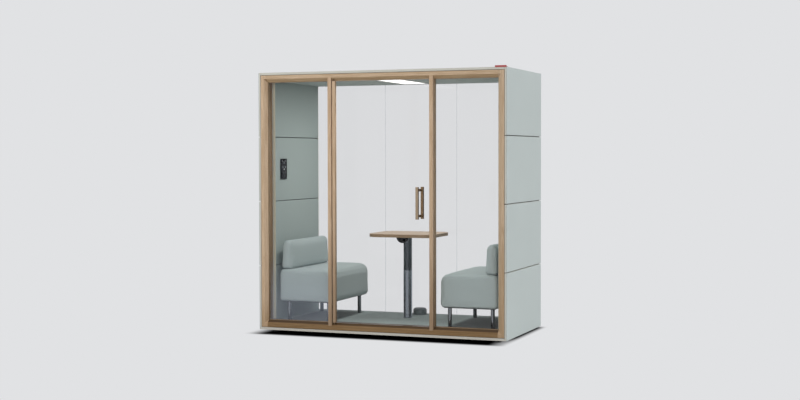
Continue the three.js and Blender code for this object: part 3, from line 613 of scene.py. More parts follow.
def painted_contact_shadow(spot):
    """1 where the pod stands close over the floor, fading to 0 at each side.

    There the floor is painted as shadow. The painted shadow is lighter under the near right corner, where
    some light slips in.
    """
    across = spot.along(0)
    deep = spot.along(1)
    beneath = across.within(left_fade, right_fade) * deep.within(front_fade, back_fade)
    corner = across.fade(*corner_across) * (1 - deep.fade(*corner_deep))
    return beneath * (1 - corner * corner_light)


def floor_pattern(spot):
    """Black in the painted contact shadow, and a plain grey for the light that bounces off the floor."""
    mottle = spot.cloud(3.0, 3.0)
    plain = mottle.between(screen(182, 182, 182), screen(188, 188, 188))
    return {"Base Color": spot.ray("Camera").between(plain, screen(6, 6, 7))}


def floor_mix(spot, shader):
    """The backdrop's own grey wherever the floor is seen outside the painted shadow."""
    seen_plain = seen_ray(spot) * (1 - painted_contact_shadow(spot))
    glow = spot.node("Emission", (), {"Color": backdrop_grey, "Strength": 1.0})
    return spot.node("MixShader", (), {0: seen_plain, 1: shader, 2: glow})


floor_dull = {"Roughness": 0.9, "Specular IOR Level": 0.0}
floor_mesh.materials.append(make_finish("studio_floor", floor_dull, floor_pattern, floor_mix))
print("shadow from", round(left_fade[0], 3), "to", round(right_fade[1], 3), "m across")

# %% [markdown]
# ## Mesh helpers
# Few things in a pod are sharp: boards are eased, pads are round and turned parts have small radii. The
# helpers below make a box with truly round edges, a turned body and a slab from a plan outline, and
# one function hangs a finished piece on the frame.

# %% Hang a piece on the frame
def smooth(mesh, degrees=35):
    """Shade a mesh smooth, with a crease where two faces meet at more than this angle."""
    mesh.polygons.foreach_set("use_smooth", [True] * len(mesh.polygons))
    mesh.set_sharp_from_angle(angle=math.radians(degrees))
    return mesh


def skin(name, points, faces):
    """A smooth mesh from points and faces."""
    mesh = bpy.data.meshes.new(name)
    mesh.from_pydata([tuple(point) for point in points], [], faces)
    return smooth(mesh)


def hang(mesh, finish, nodes=(), body="root"):
    """Show a mesh as a piece of its name that stands for these CAD nodes and rides on a body."""
    piece = bpy.data.objects.new(mesh.name, mesh)
    mesh.materials.clear()
    mesh.materials.append(finish)
    scene.collection.objects.link(piece)
    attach(piece, body)
    if nodes:
        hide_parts(*nodes)
    return piece


def others(axis):
    """The two axes besides this one."""
    return [other for other in range(3) if other != axis]


def corners(*nodes):
    """Lowest and highest corner of these CAD nodes together."""
    boxes = [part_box(node) for node in nodes]
    low = Vector([min(box[0][axis] for box in boxes) for axis in range(3)])
    high = Vector([max(box[1][axis] for box in boxes) for axis in range(3)])
    return low, high


# %% Round-edged box
def grid_lines(low, high, radius, turns, spans):
    """Places along one side of a box: close together round both edges, even in between."""
    lead = [radius * (1 - math.tan(math.pi / 4 * (turns - k) / turns)) for k in range(turns)]
    flat = high - low - 2 * radius
    middle = [radius + flat * k / spans for k in range(spans + 1)]
    tail = [high - low - place for place in reversed(lead)]
    return [low + place for place in lead + middle + tail]


def soft_box(name, low, high, radius, turns=3, spans=(1, 1, 1), swell=None):
    """A box with round edges. swell may move each finished point."""
    low, high = Vector(low), Vector(high)
    lines = [grid_lines(low[axis], high[axis], radius, turns, spans[axis]) for axis in range(3)]
    points = []
    known = {}

    def point_at(spot):
        if spot not in known:
            raw = Vector([lines[axis][spot[axis]] for axis in range(3)])
            core = Vector([min(max(raw[a], low[a] + radius), high[a] - radius) for a in range(3)])
            point = core + (raw - core).normalized() * radius
            known[spot] = len(points)
            points.append(swell(point) if swell else point)
        return known[spot]

    faces = []
    for axis in range(3):
        first, second = (axis + 1) % 3, (axis + 2) % 3
        for end in (0, len(lines[axis]) - 1):
            for i in range(len(lines[first]) - 1):
                for j in range(len(lines[second]) - 1):
                    ring = []
                    for step_i, step_j in ((0, 0), (1, 0), (1, 1), (0, 1)):
                        spot = [end] * 3
                        spot[first] = i + step_i
                        spot[second] = j + step_j
                        ring.append(point_at(tuple(spot)))
                    faces.append(ring if end else ring[::-1])
    return skin(name, points, faces)


print("a round-edged cube has", len(soft_box("trial", (0, 0, 0), (1, 1, 1), 0.1).polygons), "faces")

# %% Turned bodies and slabs
reach_limit = 0.45


def eased(line, ease, turns=4):
    """A line of points in a plane with its inner corners rounded by about this much."""
    line = [Vector(point) for point in line]
    soft = [line[0]]
    for before, corner, after in zip(line, line[1:], line[2:]):
        arms = ((before - corner).length, (after - corner).length)
        reach = min(ease, min(arms) * reach_limit)
        start = corner + (before - corner).normalized() * reach
        end = corner + (after - corner).normalized() * reach
        for k in range(turns + 1):
            share = k / turns
            soft.append(start.lerp(corner, share).lerp(corner.lerp(end, share), share))
    return soft + [line[-1]]


def turned(name, profile, centre=(0, 0, 0), steps=48, turn=Matrix()):
    """A body turned about Z from (radius, height) pairs, then rotated and set at its centre."""
    points, faces, rings = [], [], []
    for radius, height in profile:
        count = steps if radius > 0 else 1
        rings.append(range(len(points), len(points) + count))
        for k in range(count):
            angle = 2 * math.pi * k / steps
            points.append((radius * math.cos(angle), radius * math.sin(angle), height))
    for lower, upper in zip(rings, rings[1:]):
        for k in range(steps):
            around = (lower[k % len(lower)], lower[(k + 1) % len(lower)],
                      upper[(k + 1) % len(upper)], upper[k % len(upper)])
            faces.append(list(dict.fromkeys(around)))
    mesh = skin(name, points, faces)
    mesh.transform(Matrix.Translation(centre) @ turn)
    return mesh


def round_rect(width, depth, corner, steps=16):
    """A plan outline with round corners, about its own middle."""
    outline = []
    for quarter, (side, end) in enumerate(((1, 1), (-1, 1), (-1, -1), (1, -1))):
        for k in range(steps + 1):
            angle = math.pi / 2 * (quarter + k / steps)
            outline.append((side * (width / 2 - corner) + corner * math.cos(angle),
                            end * (depth / 2 - corner) + corner * math.sin(angle)))
    return outline


def slab(name, size, corner, levels, place, steps=16):
    """A plate with round corners, stacked from (inset, height) levels, from below to above."""
    points, faces = [], []
    for inset, height in levels:
        ring = round_rect(size[0] - 2 * inset, size[1] - 2 * inset, corner - inset, steps)
        points += [place @ Vector((x, y, height)) for x, y in ring]
    count = len(points) // len(levels)
    for level in range(len(levels) - 1):
        for k in range(count):
            low_k, low_next = level * count + k, level * count + (k + 1) % count
            faces.append((low_k, low_next, low_next + count, low_k + count))
    faces.append(tuple(reversed(range(count))))
    faces.append(tuple(range(len(points) - count, len(points))))
    return skin(name, points, faces)


# %% [markdown]
# ## Dressed copies
# Where the CAD solid already has the right form, such as a rail or a channel, only its razor edges give
# it away. The CAD mesh itself stays untouched. A copy is welded, its flat triangles are merged, and a
# bevel modifier rounds its edges by about a millimetre, which catches the light as a real edge does.

# %% Dressed copy helper
def second_finish(mesh, finish, chosen):
    """Give another finish to the faces whose normal is chosen."""
    mesh.materials.append(finish)
    for face in mesh.polygons:
        if chosen(face.normal):
            face.material_index = 1


edge_angle = 30
flat_angle = 0.5
weld_gap = 0.02 * MM
wide_ease = 1.0 * MM
fine_ease = 0.5 * MM


def ease_edges(piece, ease):
    """Round a piece's edges where two faces meet at more than the edge angle."""
    edge = piece.modifiers.new("eased_edges", "BEVEL")
    edge.width = ease
    edge.segments = 2
    edge.limit_method = "ANGLE"
    edge.angle_limit = math.radians(edge_angle)
    edge.harden_normals = True
    return piece


def aside(normal):
    """True for the sides and the underside of a member of the front."""
    return abs(normal.y) < 0.5 or normal.z < -0.3


def dressed(node, ease, finish, body="root", side_shade=None):
    """A copy of a CAD node with eased edges, standing for it.

    Its sides and underside may take a darker finish of their own, as painted shade.
    """
    source = bmesh.new()
    source.from_mesh(frame["nodes"][node].data)
    bmesh.ops.remove_doubles(source, verts=source.verts, dist=weld_gap)
    bmesh.ops.dissolve_limit(source, angle_limit=math.radians(flat_angle),
                             verts=source.verts, edges=source.edges)
    mesh = bpy.data.meshes.new("dressed_" + node)
    source.to_mesh(mesh)
    source.free()
    for stale in ("custom_normal", "sharp_edge"):
        if stale in mesh.attributes:
            mesh.attributes.remove(mesh.attributes[stale])
    smooth(mesh, edge_angle)
    piece = hang(mesh, finish, (node,), body)
    if side_shade:
        second_finish(mesh, side_shade, aside)
    return ease_edges(piece, ease)


def refinish(finish, *nodes):
    """Give CAD nodes a finish and leave their shape as it is."""
    for node in nodes:
        for holder in frame["nodes"][node].material_slots:
            holder.material = finish


# %% [markdown]
# ## The shell
# The floor, roof and walls are boards. Each wall is covered outside by four padded panels with shadow
# grooves between them: a board with cloth stretched over thin foam. The foam rounds the cloth at its
# edges and gives it a slight crown, so the cloth is a soft box of its own in front of its board.

# %% Boards of the shell
for node in ("floor_deck", "roof_panel", "left_wall_core", "right_wall_core"):
    dressed(node, wide_ease, pale_board)
dressed("base_panel", wide_ease, base_board)
print("boards dressed")

# %% Padded outer panels
pad_thickness = 6 * MM
pad_inset = 0.6 * MM
pad_crown = 1.2 * MM
pad_edge = 2.8 * MM
pad_edge_limit = 0.49
crown_power = 6
sides = (("left", -1), ("right", 1))
rows = range(1, 5)


def crowned(low, high, axis, sign, rise):
    """A rise that is full over most of a panel and fades at its edges."""
    def swell(point):
        lift = rise
        for other in others(axis):
            share = (2 * point[other] - low[other] - high[other]) / (high[other] - low[other])
            lift *= 1 - abs(share) ** crown_power
        middle = (low[axis] + high[axis]) / 2
        if (point[axis] - middle) * sign > 0:
            point[axis] += sign * lift
        return point
    return swell


for side, sign in sides:
    for row in rows:
        node = f"{side}_outer_panel_{row}"
        low, high = corners(node)
        board_low, board_high = low.copy(), high.copy()
        pad_low = low + Vector((0, pad_inset, pad_inset))
        pad_high = high - Vector((0, pad_inset, pad_inset))
        if sign > 0:
            board_high.x -= pad_thickness
            pad_low.x = board_high.x
            pad_high.x -= pad_crown
        else:
            board_low.x += pad_thickness
            pad_high.x = board_low.x
            pad_low.x += pad_crown
        board = soft_box(f"{side}_panel_board_{row}", board_low, board_high, 0.8 * MM, 2)
        hang(board, pale_board, (node,))
        edge = min(pad_edge, (pad_high.x - pad_low.x) * pad_edge_limit)
        bulge = crowned(pad_low, pad_high, 0, sign, pad_crown)
        pad = soft_box(f"{side}_panel_pad_{row}", pad_low, pad_high, edge, 4, (1, 24, 16), bulge)
        piece = hang(pad, shell_cloth, (node,))
print("outer panels", len(rows) * len(sides), "boards and pads")

# %% Dark strips that stand for the shade at the bottom of the grooves
groove_play = 0.4 * MM
strip_thickness = 1.2 * MM


def groove_shade_strip(name, face, sign, front, back, bottom, top):
    """A thin dark strip on the board behind a groove, standing for its shade. face is the board's X, sign
    the way it looks.
    """
    outer = face + sign * strip_thickness
    strip_low = Vector((min(face, outer), front + groove_play, bottom + groove_play))
    strip_high = Vector((max(face, outer), back - groove_play, top - groove_play))
    hang(soft_box(name, strip_low, strip_high, 0.4 * MM, 2), dark_board)


for side, sign in sides:
    for row in rows[:-1]:
        low, high = corners(f"{side}_outer_panel_{row}")
        above = corners(f"{side}_outer_panel_{row + 1}")[0].z
        face = low.x if sign > 0 else high.x
        groove_shade_strip(f"{side}_groove_shade_strip_{row}", face, sign, low.y, high.y, high.z, above)
print("grooves", round((above - high.z) / MM, 1), "mm wide")

# %% [markdown]
# ## The inner walls
# Inside, each wall carries four felt panels, with grooves at the same heights as outside. Their raw
# edges at the front and the back are covered by a thin beige band, which shows beside the glass.

# %% Felt panels and edge bands
liner_gap = 6 * MM
half_gap = liner_gap / 2
band_thickness = 2 * MM
for side, sign in sides:
    node = f"{side}_inner_liner"
    low, high = corners(node)
    tops = [corners(f"{side}_outer_panel_{row}")[1].z for row in rows[:-1]]
    front, back = low.y + band_thickness, high.y - band_thickness
    breaks = [low.z] + [top + half_gap for top in tops] + [high.z]
    for row, bottom, top in zip(rows, breaks, breaks[1:]):
        felt_low = Vector((low.x, front, bottom + (half_gap if row > rows[0] else 0)))
        felt_high = Vector((high.x, back, top - (half_gap if row < rows[-1] else 0)))
        felt = soft_box(f"{side}_felt_{row}", felt_low, felt_high, 3.5 * MM, 4, (1, 12, 8))
        piece = hang(felt, liner_felt, (node,))
    for end, start in (("front", low.y), ("back", back)):
        band_low = Vector((low.x, start, low.z))
        band_high = Vector((high.x, start + band_thickness, high.z))
        band = soft_box(f"{side}_{end}_band", band_low, band_high, 0.6 * MM, 2)
        hang(band, edge_band, (node,))
    face = low.x if sign < 0 else high.x
    # Dark strips stand for the shade in the felt grooves too.
    for row, middle in zip(rows, breaks[1:-1]):
        name = f"{side}_felt_strip_{row}"
        groove_shade_strip(name, face, -sign, front, back, middle - half_gap, middle + half_gap)
print("felt panels", len(rows) * len(sides))

# %% [markdown]
# ## Carpet and ceiling
# The carpet is a copy of its CAD sheet, held back a little at the front for the metal nosing that
# finishes its edge. The ceiling is a felt board with air slots, around an opal light in a thin frame.

# %% Carpet and nosing
nosing = 3 * MM
nosing_play = 0.2 * MM
nosing_rise = 0.4 * MM
carpet = dressed("floor_carpet", 2.5 * MM, carpet_pile)
carpet_low, carpet_high = corners("floor_carpet")
for point in carpet.data.vertices:
    if point.co.y < carpet_low.y + MM:
        point.co.y += nosing
nosing_back = carpet_low.y + nosing - nosing_play
nosing_low = Vector((carpet_low.x, carpet_low.y, carpet_low.z - nosing_play))
nosing_high = Vector((carpet_high.x, nosing_back, carpet_high.z + nosing_rise))
hang(soft_box("carpet_nosing", nosing_low, nosing_high, 0.8 * MM, 2), satin_aluminium)
print("carpet edge at", round(carpet_low.y + nosing, 4))

# %% Rings with four sides
def ring_frame(name, low, high, width, axis):
    """A flat frame with mitred corners: a box with a square hole through it along one axis."""
    first, second = others(axis)
    points = []
    for level in (low[axis], high[axis]):
        for inset in (0.0, width):
            for i, j in ((0, 0), (1, 0), (1, 1), (0, 1)):
                point = Vector((level, level, level))
                point[first] = high[first] - inset if i else low[first] + inset
                point[second] = high[second] - inset if j else low[second] + inset
                points.append(point)
    faces = []
    for k in range(4):
        after = (k + 1) % 4
        for a, b in ((0, 4), (4, 12), (12, 8), (8, 0)):
            faces.append((a + k, b + k, b + after, a + after))
    mesh = skin(name, points, faces)
    fix = bmesh.new()
    fix.from_mesh(mesh)
    bmesh.ops.recalc_face_normals(fix, faces=fix.faces)
    fix.to_mesh(mesh)
    fix.free()
    return smooth(mesh)


# %% Ceiling and light
dressed("ceiling_panel", wide_ease, lit_ceiling_felt)
trim_width = 9 * MM
trim_drop = 2.5 * MM
trim_lap = 4 * MM
trim_play = 0.3 * MM
opal_inset = Vector((0.4 * MM,) * 3)
opal = soft_box("opal_sheet", light_low + opal_inset, light_high - opal_inset, 2 * MM, 3, (4, 8, 1))
hang(opal, opal_light, ("light_panel",))
trim_low = Vector((light_low.x - trim_lap, light_low.y - trim_lap, light_low.z - trim_drop))
trim_high = Vector((light_high.x + trim_lap, light_high.y + trim_lap, light_low.z - trim_play))
trim = ring_frame("light_trim", trim_low, trim_high, trim_width, 2)
ease_edges(hang(trim, satin_aluminium), fine_ease)
for node, body in (("fan_frame", "root"), ("fan_rotor", "fan")):
    dressed(node, 0.6 * MM, black_plastic, body)
print("light", rounded(light_high - light_low))

# %% [markdown]
# ## The oak front
# Posts, rails and mullions are solid oak with mitred splays towards the glass. The grain runs along
# each member, so uprights and rails take different finishes. The fixed panes sit in grooves with a slim
# oak bead on both faces.

# %% Oak members
members = (("left_post", upright_oak), ("right_post", shaded_oak), ("left_mullion", doorway_oak),
           ("right_mullion", doorway_oak), ("top_rail", level_oak), ("bottom_rail", sill_shade_oak))
# The left post's sides and the head's underside take painted shade.
side_shades = {"left_post": side_shade_oak, "top_rail": head_shade_oak}
for node, wood in members:
    dressed(node, wide_ease, wood, side_shade=side_shades.get(node))
dressed("door_stile", 1.2 * MM, doorway_oak, "door")
print("oak members dressed")

# %% Fixed panes and beads
bead_width = 2.5 * MM
bead_depth = 4 * MM
bead_clearance = 0.2 * MM
sill_top = corners("bottom_rail")[1].z
head_bottom = corners("top_rail")[0].z
refinish(left_glass, "left_front_glass")
refinish(clear_glass, "right_front_glass", "door_glass")
for side in ("left", "right"):
    glass_low, glass_high = corners(f"{side}_front_glass")
    post_low, post_high = corners(f"{side}_post")
    mullion_low, mullion_high = corners(f"{side}_mullion")
    if side == "left":
        opening = (post_high.x, mullion_low.x)
    else:
        opening = (mullion_high.x, post_low.x)
    for face, near, far in (("front", glass_low.y - bead_depth, glass_low.y),
                            ("back", glass_high.y, glass_high.y + bead_depth)):
        bead_low = Vector((opening[0] + bead_clearance, near, sill_top + bead_clearance))
        bead_high = Vector((opening[1] - bead_clearance, far, head_bottom - bead_clearance))
        bead = ring_frame(f"{side}_{face}_bead", bead_low, bead_high, bead_width, 1)
        ease_edges(hang(bead, shaded_oak), 0.8 * MM)
print("sill at", round(sill_top, 3), "head at", round(head_bottom, 3))

# %% [markdown]
# ## Door pivots and handle
# The door turns on two pivots in the left stile. Its pull is a pair of oak bars, one on each face of
# the glass, joined by two rods that pass through holes in the pane. Pivots and rods are steel with a
# bronze coat.

# %% Pivots and rods
for end in ("lower", "upper"):
    dressed(f"{end}_pivot", fine_ease, bronze, "root")
    dressed(f"{end}_handle_rod", fine_ease, bronze, "door")
# The inner bar behind the glass and the right side of each bar are painted darker, as painted shade.
for node, wood in (("outer_handle", pull_oak), ("inner_handle", side_shade_oak)):
    low, high = corners(node)
    bar = soft_box("oak_" + node, low, high, 3 * MM, 5)
    hang(bar, wood, (node,), "door")
    second_finish(bar, handle_side_shade_oak, lambda normal: normal.x > 0.7)
print("handle", rounded(high - low))

# %% [markdown]
# ## The glass back
# Three tall panes close the back. They stand in aluminium channels, and the joints between them are
# filled with clear silicone, which shows as a thin pale line.

# %% Back panes, channels and joints
panes = ("back_glass_1", "back_glass_2", "back_glass_3")
refinish(clear_glass, *panes)
for node in ("back_sill_channel", "back_head_channel"):
    dressed(node, 0.8 * MM, satin_aluminium)
joint_inset = 0.5 * MM
joint_round = 0.45
channel_top = corners("back_sill_channel")[1].z
channel_bottom = corners("back_head_channel")[0].z
for number, (first, second) in enumerate(zip(panes, panes[1:]), 1):
    first_high = corners(first)[1]
    second_low = corners(second)[0]
    joint_low = Vector((first_high.x, second_low.y + joint_inset, channel_top))
    joint_high = Vector((second_low.x, first_high.y - joint_inset, channel_bottom))
    joint_width = joint_high.x - joint_low.x
    seam = soft_box(f"back_joint_{number}", joint_low, joint_high, joint_round * joint_width, 3)
    hang(seam, clear_seal)
    print("joint", number, "is", round(joint_width / MM, 1), "mm wide")

# %% [markdown]
# ## Upholstered seats
# Each seat is a foam block in a sewn cover with a back cushion standing on it. Foam pushes its cover
# out between the seams. A cloth simulation does just that: the cover starts a little small, is held
# where it is glued down, and is blown up for twenty steps. Every point is kept within a few
# millimetres of where it began, so that the cushion stays in its place. The right pair is a copy of
# the left one, turned about the point between them.

# %% Cover before filling
def result_of(piece):
    """A new mesh of a piece with its modifiers applied."""
    return bpy.data.meshes.new_from_object(piece.evaluated_get(bpy.context.evaluated_depsgraph_get()))


def cover_of(node, shrink, voxel):
    """An even skin of small quads round a cushion's solid, a little inside it."""
    low, high = corners(node)
    middle = (low + high) / 2
    half = (high - low) / 2
    mesh = frame["nodes"][node].data.copy()
    for point in mesh.vertices:
        for axis in range(3):
            away = point.co[axis] - middle[axis]
            point.co[axis] = middle[axis] + away * (1 - shrink / half[axis])
    piece = bpy.data.objects.new("cover_" + node, mesh)
    scene.collection.objects.link(piece)
    weld = piece.modifiers.new("weld", "WELD")
    weld.merge_threshold = weld_gap
    even = piece.modifiers.new("even", "REMESH")
    even.mode = "VOXEL"
    even.voxel_size = voxel
    soft = piece.modifiers.new("soft", "SMOOTH")
    soft.iterations = 1
    fresh = result_of(piece)
    piece.modifiers.clear()
    piece.data = fresh
    return piece


# %% Fill the cover
fill_steps = 20
cover_stiffness = 25
cover_bending = 2


def fill(piece, pressure, cap, held):
    """Blow a cover up, except where held says it is glued, and keep each point near its start."""
    start = [point.co.copy() for point in piece.data.vertices]
    group = piece.vertex_groups.new(name="held")
    group.add([k for k, spot in enumerate(start) if held(spot)], 1.0, "REPLACE")
    cover = piece.modifiers.new("cover", "CLOTH")
    cover.settings.vertex_group_mass = group.name
    cover.settings.use_pressure = True
    cover.settings.uniform_pressure_force = pressure
    cover.settings.effector_weights.gravity = 0.0
    cover.settings.tension_stiffness = cover_stiffness
    cover.settings.compression_stiffness = cover_stiffness
    cover.settings.bending_stiffness = cover_bending
    cover.point_cache.frame_end = fill_steps
    for step in range(1, fill_steps + 1):
        scene.frame_set(step)
    swollen = result_of(piece)
    piece.modifiers.clear()
    most = 0.0
    for point, puffed, begin in zip(piece.data.vertices, swollen.vertices, start):
        move = puffed.co - begin
        most = max(most, move.length)
        point.co = begin + move.normalized() * (cap * math.tanh(move.length / cap))
    bpy.data.meshes.remove(swollen)
    scene.frame_set(1)
    print("cover", piece.name, "moved up to", round(most / MM, 1), "mm before the cap")


# %% Sew the seams
pucker_reach = 5
pucker_share = 0.35
pucker_fineness = 45


def sew(piece, seams, depth, width):
    """Draw the cover in along each seam, with small puckers. A seam gives a point's distance to it."""
    normals = [point.normal.copy() for point in piece.data.vertices]
    for point, normal in zip(piece.data.vertices, normals):
        spot = point.co.copy()
        for seam in seams:
            near = math.exp(-(seam(spot) / width) ** 2)
            loose = math.exp(-(seam(spot) / (pucker_reach * width)) ** 2)
            point.co -= normal * (depth * near)
            point.co += normal * (pucker_share * depth * loose * noise.noise(spot * pucker_fineness))
    smooth(piece.data, 180)


# %% Make the left pair and turn a copy for the right
cover_shrink = 0.5 * MM
cover_voxel = 6 * MM
cover_pressure = 1.0
cover_cap = 3 * MM
seam_depth = 1.5 * MM
seam_width = 5 * MM
seat_low, seat_high = corners("left_seat_cushion")
back_low, back_high = corners("left_back_cushion")
pair_middle = (corners("left_seat_cushion")[0] + corners("right_seat_cushion")[1]) / 2
glued = 14 * MM
seam_inset = 16 * MM


def seat_held(spot):
    """Glued to the base and the wall side, and pressed flat under the back cushion."""
    under_back = spot.x < back_high.x + glued and spot.z > seat_high.z - 3 * glued
    return spot.z < seat_low.z + glued or spot.x < seat_low.x + glued or under_back


def back_held(spot):
    """Standing on the seat and fixed to the wall."""
    return spot.z < back_low.z + glued or spot.x < back_low.x + glued


def end_seam(low, high, end):
    """How far a point is from the seam of an end panel."""
    place = low.y + seam_inset if end < 0 else high.y - seam_inset
    return lambda spot: spot.y - place


cushions = (
    ("seat_cushion", seat_low, seat_high, seat_held),
    ("back_cushion", back_low, back_high, back_held),
)
turn_about = (Matrix.Translation(pair_middle) @ Matrix.Rotation(math.pi, 4, "Z")
              @ Matrix.Translation(-pair_middle))
for kind, low, high, held in cushions:
    cover = cover_of("left_" + kind, cover_shrink, cover_voxel)
    fill(cover, cover_pressure, cover_cap, held)
    sew(cover, [end_seam(low, high, -1), end_seam(low, high, 1)], seam_depth, seam_width)
    for side, turn in (("left", Matrix()), ("right", turn_about)):
        mesh = cover.data.copy()
        mesh.name = f"{side}_{kind}_cover"
        mesh.transform(turn)
        piece = hang(mesh, seat_cloth, (f"{side}_{kind}",))
    bpy.data.objects.remove(cover)
    print(kind, "cover has", len(mesh.polygons), "quads")

# %% [markdown]
# ## Seat bases and legs
# Under each seat a thin black plate carries four straight chromed legs, which end in a plastic glide.
# The CAD frame is one solid, so its plate and its legs are separate pieces here.

# %% Bases and legs
leg_radius = 16.5 * MM
flange_radius = leg_radius * 1.55
flange_height = 4.5 * MM
flange_start = 5 * MM
leg_ease = 1.5 * MM
leg_side_inset = 34 * MM
leg_end_inset = 59 * MM
plate_thickness = 4 * MM
glide_height = 4 * MM
for side, sign in sides:
    node = f"{side}_seat_frame"
    low, high = corners(node)
    plate_low = Vector((low.x, low.y, high.z - plate_thickness))
    plate = soft_box(f"{side}_seat_base", plate_low, high, 1.2 * MM, 3)
    hang(plate, dark_board, (node,))
    leg_top = plate_low.z
    leg_length = leg_top - low.z
    wall_x = (high.x if sign > 0 else low.x) - sign * leg_side_inset
    aisle_x = (low.x if sign > 0 else high.x) + sign * leg_side_inset
    for along, x in (("wall", wall_x), ("aisle", aisle_x)):
        for end, y in (("front", low.y + leg_end_inset), ("back", high.y - leg_end_inset)):
            tube = eased([(0, glide_height), (leg_radius, glide_height),
                          (leg_radius, leg_length - flange_start),
                          (flange_radius, leg_length - flange_height),
                          (flange_radius, leg_length), (0, leg_length)], leg_ease)
            spot = Vector((x, y, low.z))
            name = f"{side}_{along}_{end}_leg"
            hang(turned(name, tube, spot), leg_chrome, (node,))
            foot = eased([(0, 0), (leg_radius * 0.86, 0), (leg_radius * 0.9, glide_height),
                          (0, glide_height)], leg_ease)
            hang(turned(name + "_glide", foot, spot), black_plastic)
print("legs", round(leg_length, 3), "m tall")

# %% [markdown]
# ## Table
# The table top is a board with generous corners: a pale oak veneer over a solid edge, which is painted
# darker as painted shade. It stands on one steel column with a flange under the top and a cover ring on
# the carpet. A black power bowl hangs under the top, and a grey hood on the floor behind the column
# covers the inlet.

# %% Table top
top_low, top_high = corners("table_top")
top_size = top_high - top_low
top_corner = 100 * MM
top_edge = 2 * MM
veneer = 3 * MM
veneer_low = top_high.z - veneer
rim_inset = 18 * MM
edge_bend = 0.29 * top_edge
top_place = Matrix.Translation(((top_low.x + top_high.x) / 2, (top_low.y + top_high.y) / 2, 0))
core_levels = [(rim_inset, top_low.z), (top_edge, top_low.z), (edge_bend, top_low.z + edge_bend),
               (0, top_low.z + top_edge), (0, veneer_low), (rim_inset, veneer_low)]
veneer_levels = [(rim_inset, veneer_low), (0, veneer_low), (0, top_high.z - top_edge),
                 (edge_bend, top_high.z - edge_bend), (top_edge, top_high.z), (rim_inset, top_high.z)]
layers = (("table_core", core_levels, table_edge_shade_oak), ("table_veneer", veneer_levels, table_oak))
for name, levels, wood in layers:
    layer = slab(name, top_size, top_corner, levels, top_place, 24)
    hang(layer, wood, ("table_top",))
print("table", rounded(top_size))

# %% Column
column_low, column_high = corners("table_column")
column_middle = (column_low + column_high) / 2
sleeve_radius = 38 * MM
tube_radius = 37 * MM
ring_radius = 46 * MM
plate_radius = 60 * MM
sleeve_height = 412 * MM
ring_gap = 0.4 * MM
ring_height = 3 * MM
plate_height = 6 * MM
carpet_top = carpet_high.z
post_height = column_high.z - carpet_top
column_foot = Vector((column_middle.x, column_middle.y, carpet_top))
column_ease = 1.2 * MM
sleeve_line = [(0, ring_gap), (ring_radius, ring_gap), (ring_radius, ring_height),
               (sleeve_radius, ring_height + MM), (sleeve_radius, sleeve_height), (0, sleeve_height)]
tube_line = [(0, sleeve_height), (tube_radius, sleeve_height),
             (tube_radius, post_height - plate_height - MM), (plate_radius, post_height - plate_height),
             (plate_radius, post_height), (0, post_height)]
stages = (("column_sleeve", sleeve_line, sleeve_steel), ("column_tube", tube_line, tube_steel))
for name, line, steel in stages:
    stage = turned(name, eased(line, column_ease), column_foot, 72)
    hang(stage, steel, ("table_column",))
print("column", round(post_height, 3), "m above the carpet")

# %% Bowl and hood
hood_low, hood_high = corners("power_inlet_hood")
hood_radius = (hood_high.x - hood_low.x) / 2
hood_height = hood_high.z - hood_low.z
hood_round = 22 * MM
hood_foot = Vector(((hood_low.x + hood_high.x) / 2, (hood_low.y + hood_high.y) / 2, hood_low.z))
hood_steps = 8
hood_line = [(0, 0), (hood_radius - MM, 0), (hood_radius, 2 * MM),
             (hood_radius, hood_height - hood_round)]
for k in range(1, hood_steps + 1):
    angle = math.pi / 2 * k / hood_steps
    hood_line.append((hood_radius - hood_round * (1 - math.cos(angle)),
                      hood_height - hood_round * (1 - math.sin(angle))))
hood_line.append((0, hood_height))
hood = turned("inlet_hood", hood_line, hood_foot, 64)
hang(hood, grey_plastic, ("power_inlet_hood",))
dressed("power_bowl", wide_ease, black_plastic)
print("hood", round(hood_radius * 2, 3), "m across")

# %% [markdown]
# ## Control panel
# A black panel on the left wall switches the light and the fan: a raised rim, a presence sensor, three
# grey push buttons in a triangle and a slotted lower half. The buttons ride on their own bodies.

# %% Control panel and buttons
dressed("control_panel", 0.6 * MM, black_plastic)
for number in (1, 2, 3):
    dressed(f"control_button_{number}", fine_ease, grey_plastic, f"button_{number}")
panel_low, panel_high = corners("control_panel")
panel_middle = (panel_low + panel_high) / 2
print("panel", rounded(panel_high - panel_low))

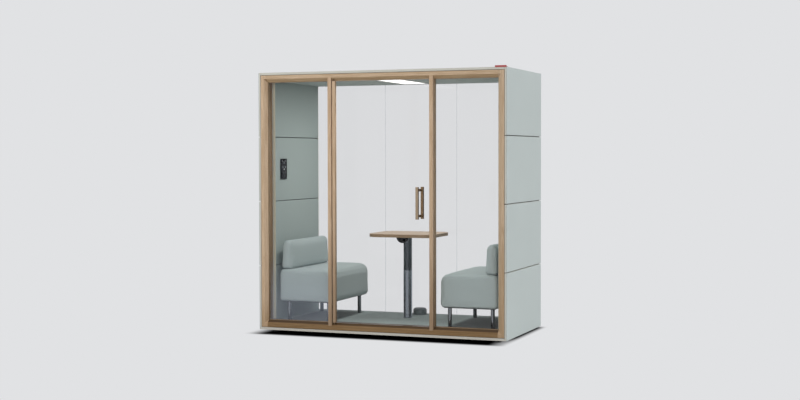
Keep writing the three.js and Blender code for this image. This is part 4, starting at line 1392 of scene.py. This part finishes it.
# %% Rim, ribs, lens and dots of the panel
panel_play = 0.1 * MM
rim_rise = 1.6 * MM
rim_width = 4 * MM
rim_low = Vector((panel_high.x + panel_play, panel_low.y + MM, panel_low.z + MM))
rim_high = Vector((panel_high.x + rim_rise, panel_high.y - MM, panel_high.z - MM))
rim = ring_frame("panel_rim", rim_low, rim_high, rim_width, 0)
ease_edges(hang(rim, black_plastic), fine_ease)
rib_count = 6
rib_pitch = 9 * MM
rib_height = 4 * MM
rib_inset = 22 * MM
rib_rise = 2 * MM
rib_start = 16 * MM
for number in range(rib_count):
    bottom = panel_low.z + rib_start + number * rib_pitch
    rib_low = Vector((panel_high.x + panel_play, panel_low.y + rib_inset, bottom))
    rib_high = Vector((panel_high.x + rib_rise, panel_high.y - rib_inset, bottom + rib_height))
    rib = soft_box(f"panel_rib_{number + 1}", rib_low, rib_high, 0.8 * MM, 3)
    hang(rib, dark_board)
face_out = Matrix.Rotation(math.pi / 2, 4, "Y")
lens_line = eased([(0, panel_play), (8 * MM, panel_play), (7.4 * MM, 2 * MM), (4 * MM, 3.6 * MM),
                   (0, 4 * MM)], 1.5 * MM)
dot_line = eased([(0, panel_play), (4 * MM, panel_play), (3.6 * MM, 1.2 * MM), (0, 1.6 * MM)], 0.6 * MM)
lens_rise = -4 * MM
dot_side = 34 * MM
dot_rise = 68 * MM
marks = (("panel_lens", lens_line, 0.0, lens_rise), ("panel_dot_1", dot_line, -dot_side, dot_rise),
         ("panel_dot_2", dot_line, dot_side, dot_rise))
for name, line, across, rise in marks:
    spot = Vector((panel_high.x, panel_middle.y + across, panel_middle.z + rise))
    hang(turned(name, line, spot, 32, face_out), pale_plastic)
print("panel has", rib_count, "ribs and", len(marks), "round marks")

# %% [markdown]
# ## Feet and tab
# Rubber levelling feet hold the base a little off the floor. The plain red tab is folded over the
# roof's front edge.

# %% Feet and tab
for place in ("front_left", "front_right", "back_left", "back_right"):
    dressed(f"levelling_foot_{place}", wide_ease, rubber, f"foot_{place}")
dressed("edge_tab", 0.6 * MM, tab_cloth)
print("feet and tab dressed")

# %% [markdown]
# ## Lamps for the outside only
# The side and the high softbox shape the front and the walls. Inside, the pod is lit by its own ceiling
# light and from the front, and a lamp that shone down into it would wash out the shade under the seats.
# So these two are linked to the pieces that lie outside the room.

# %% Link the lamps
room_low = corners("left_inner_liner")[0]
room_high = corners("right_inner_liner", "ceiling_panel")[1]
outside = bpy.data.collections.new("outside")
bpy.context.view_layer.update()
for piece in scene.objects:
    spots = [piece.matrix_world @ Vector(corner) for corner in piece.bound_box]
    middle = sum(spots, Vector()) / len(spots)
    inside = all(room_low[axis] < middle[axis] < room_high[axis] for axis in range(3))
    if piece.type == "MESH" and not inside:
        outside.objects.link(piece)
for holder in (side_softbox, high_softbox):
    holder.light_linking.receiver_collection = outside

# %% [markdown]
# The dressed pod has to stay in the CAD model's box.
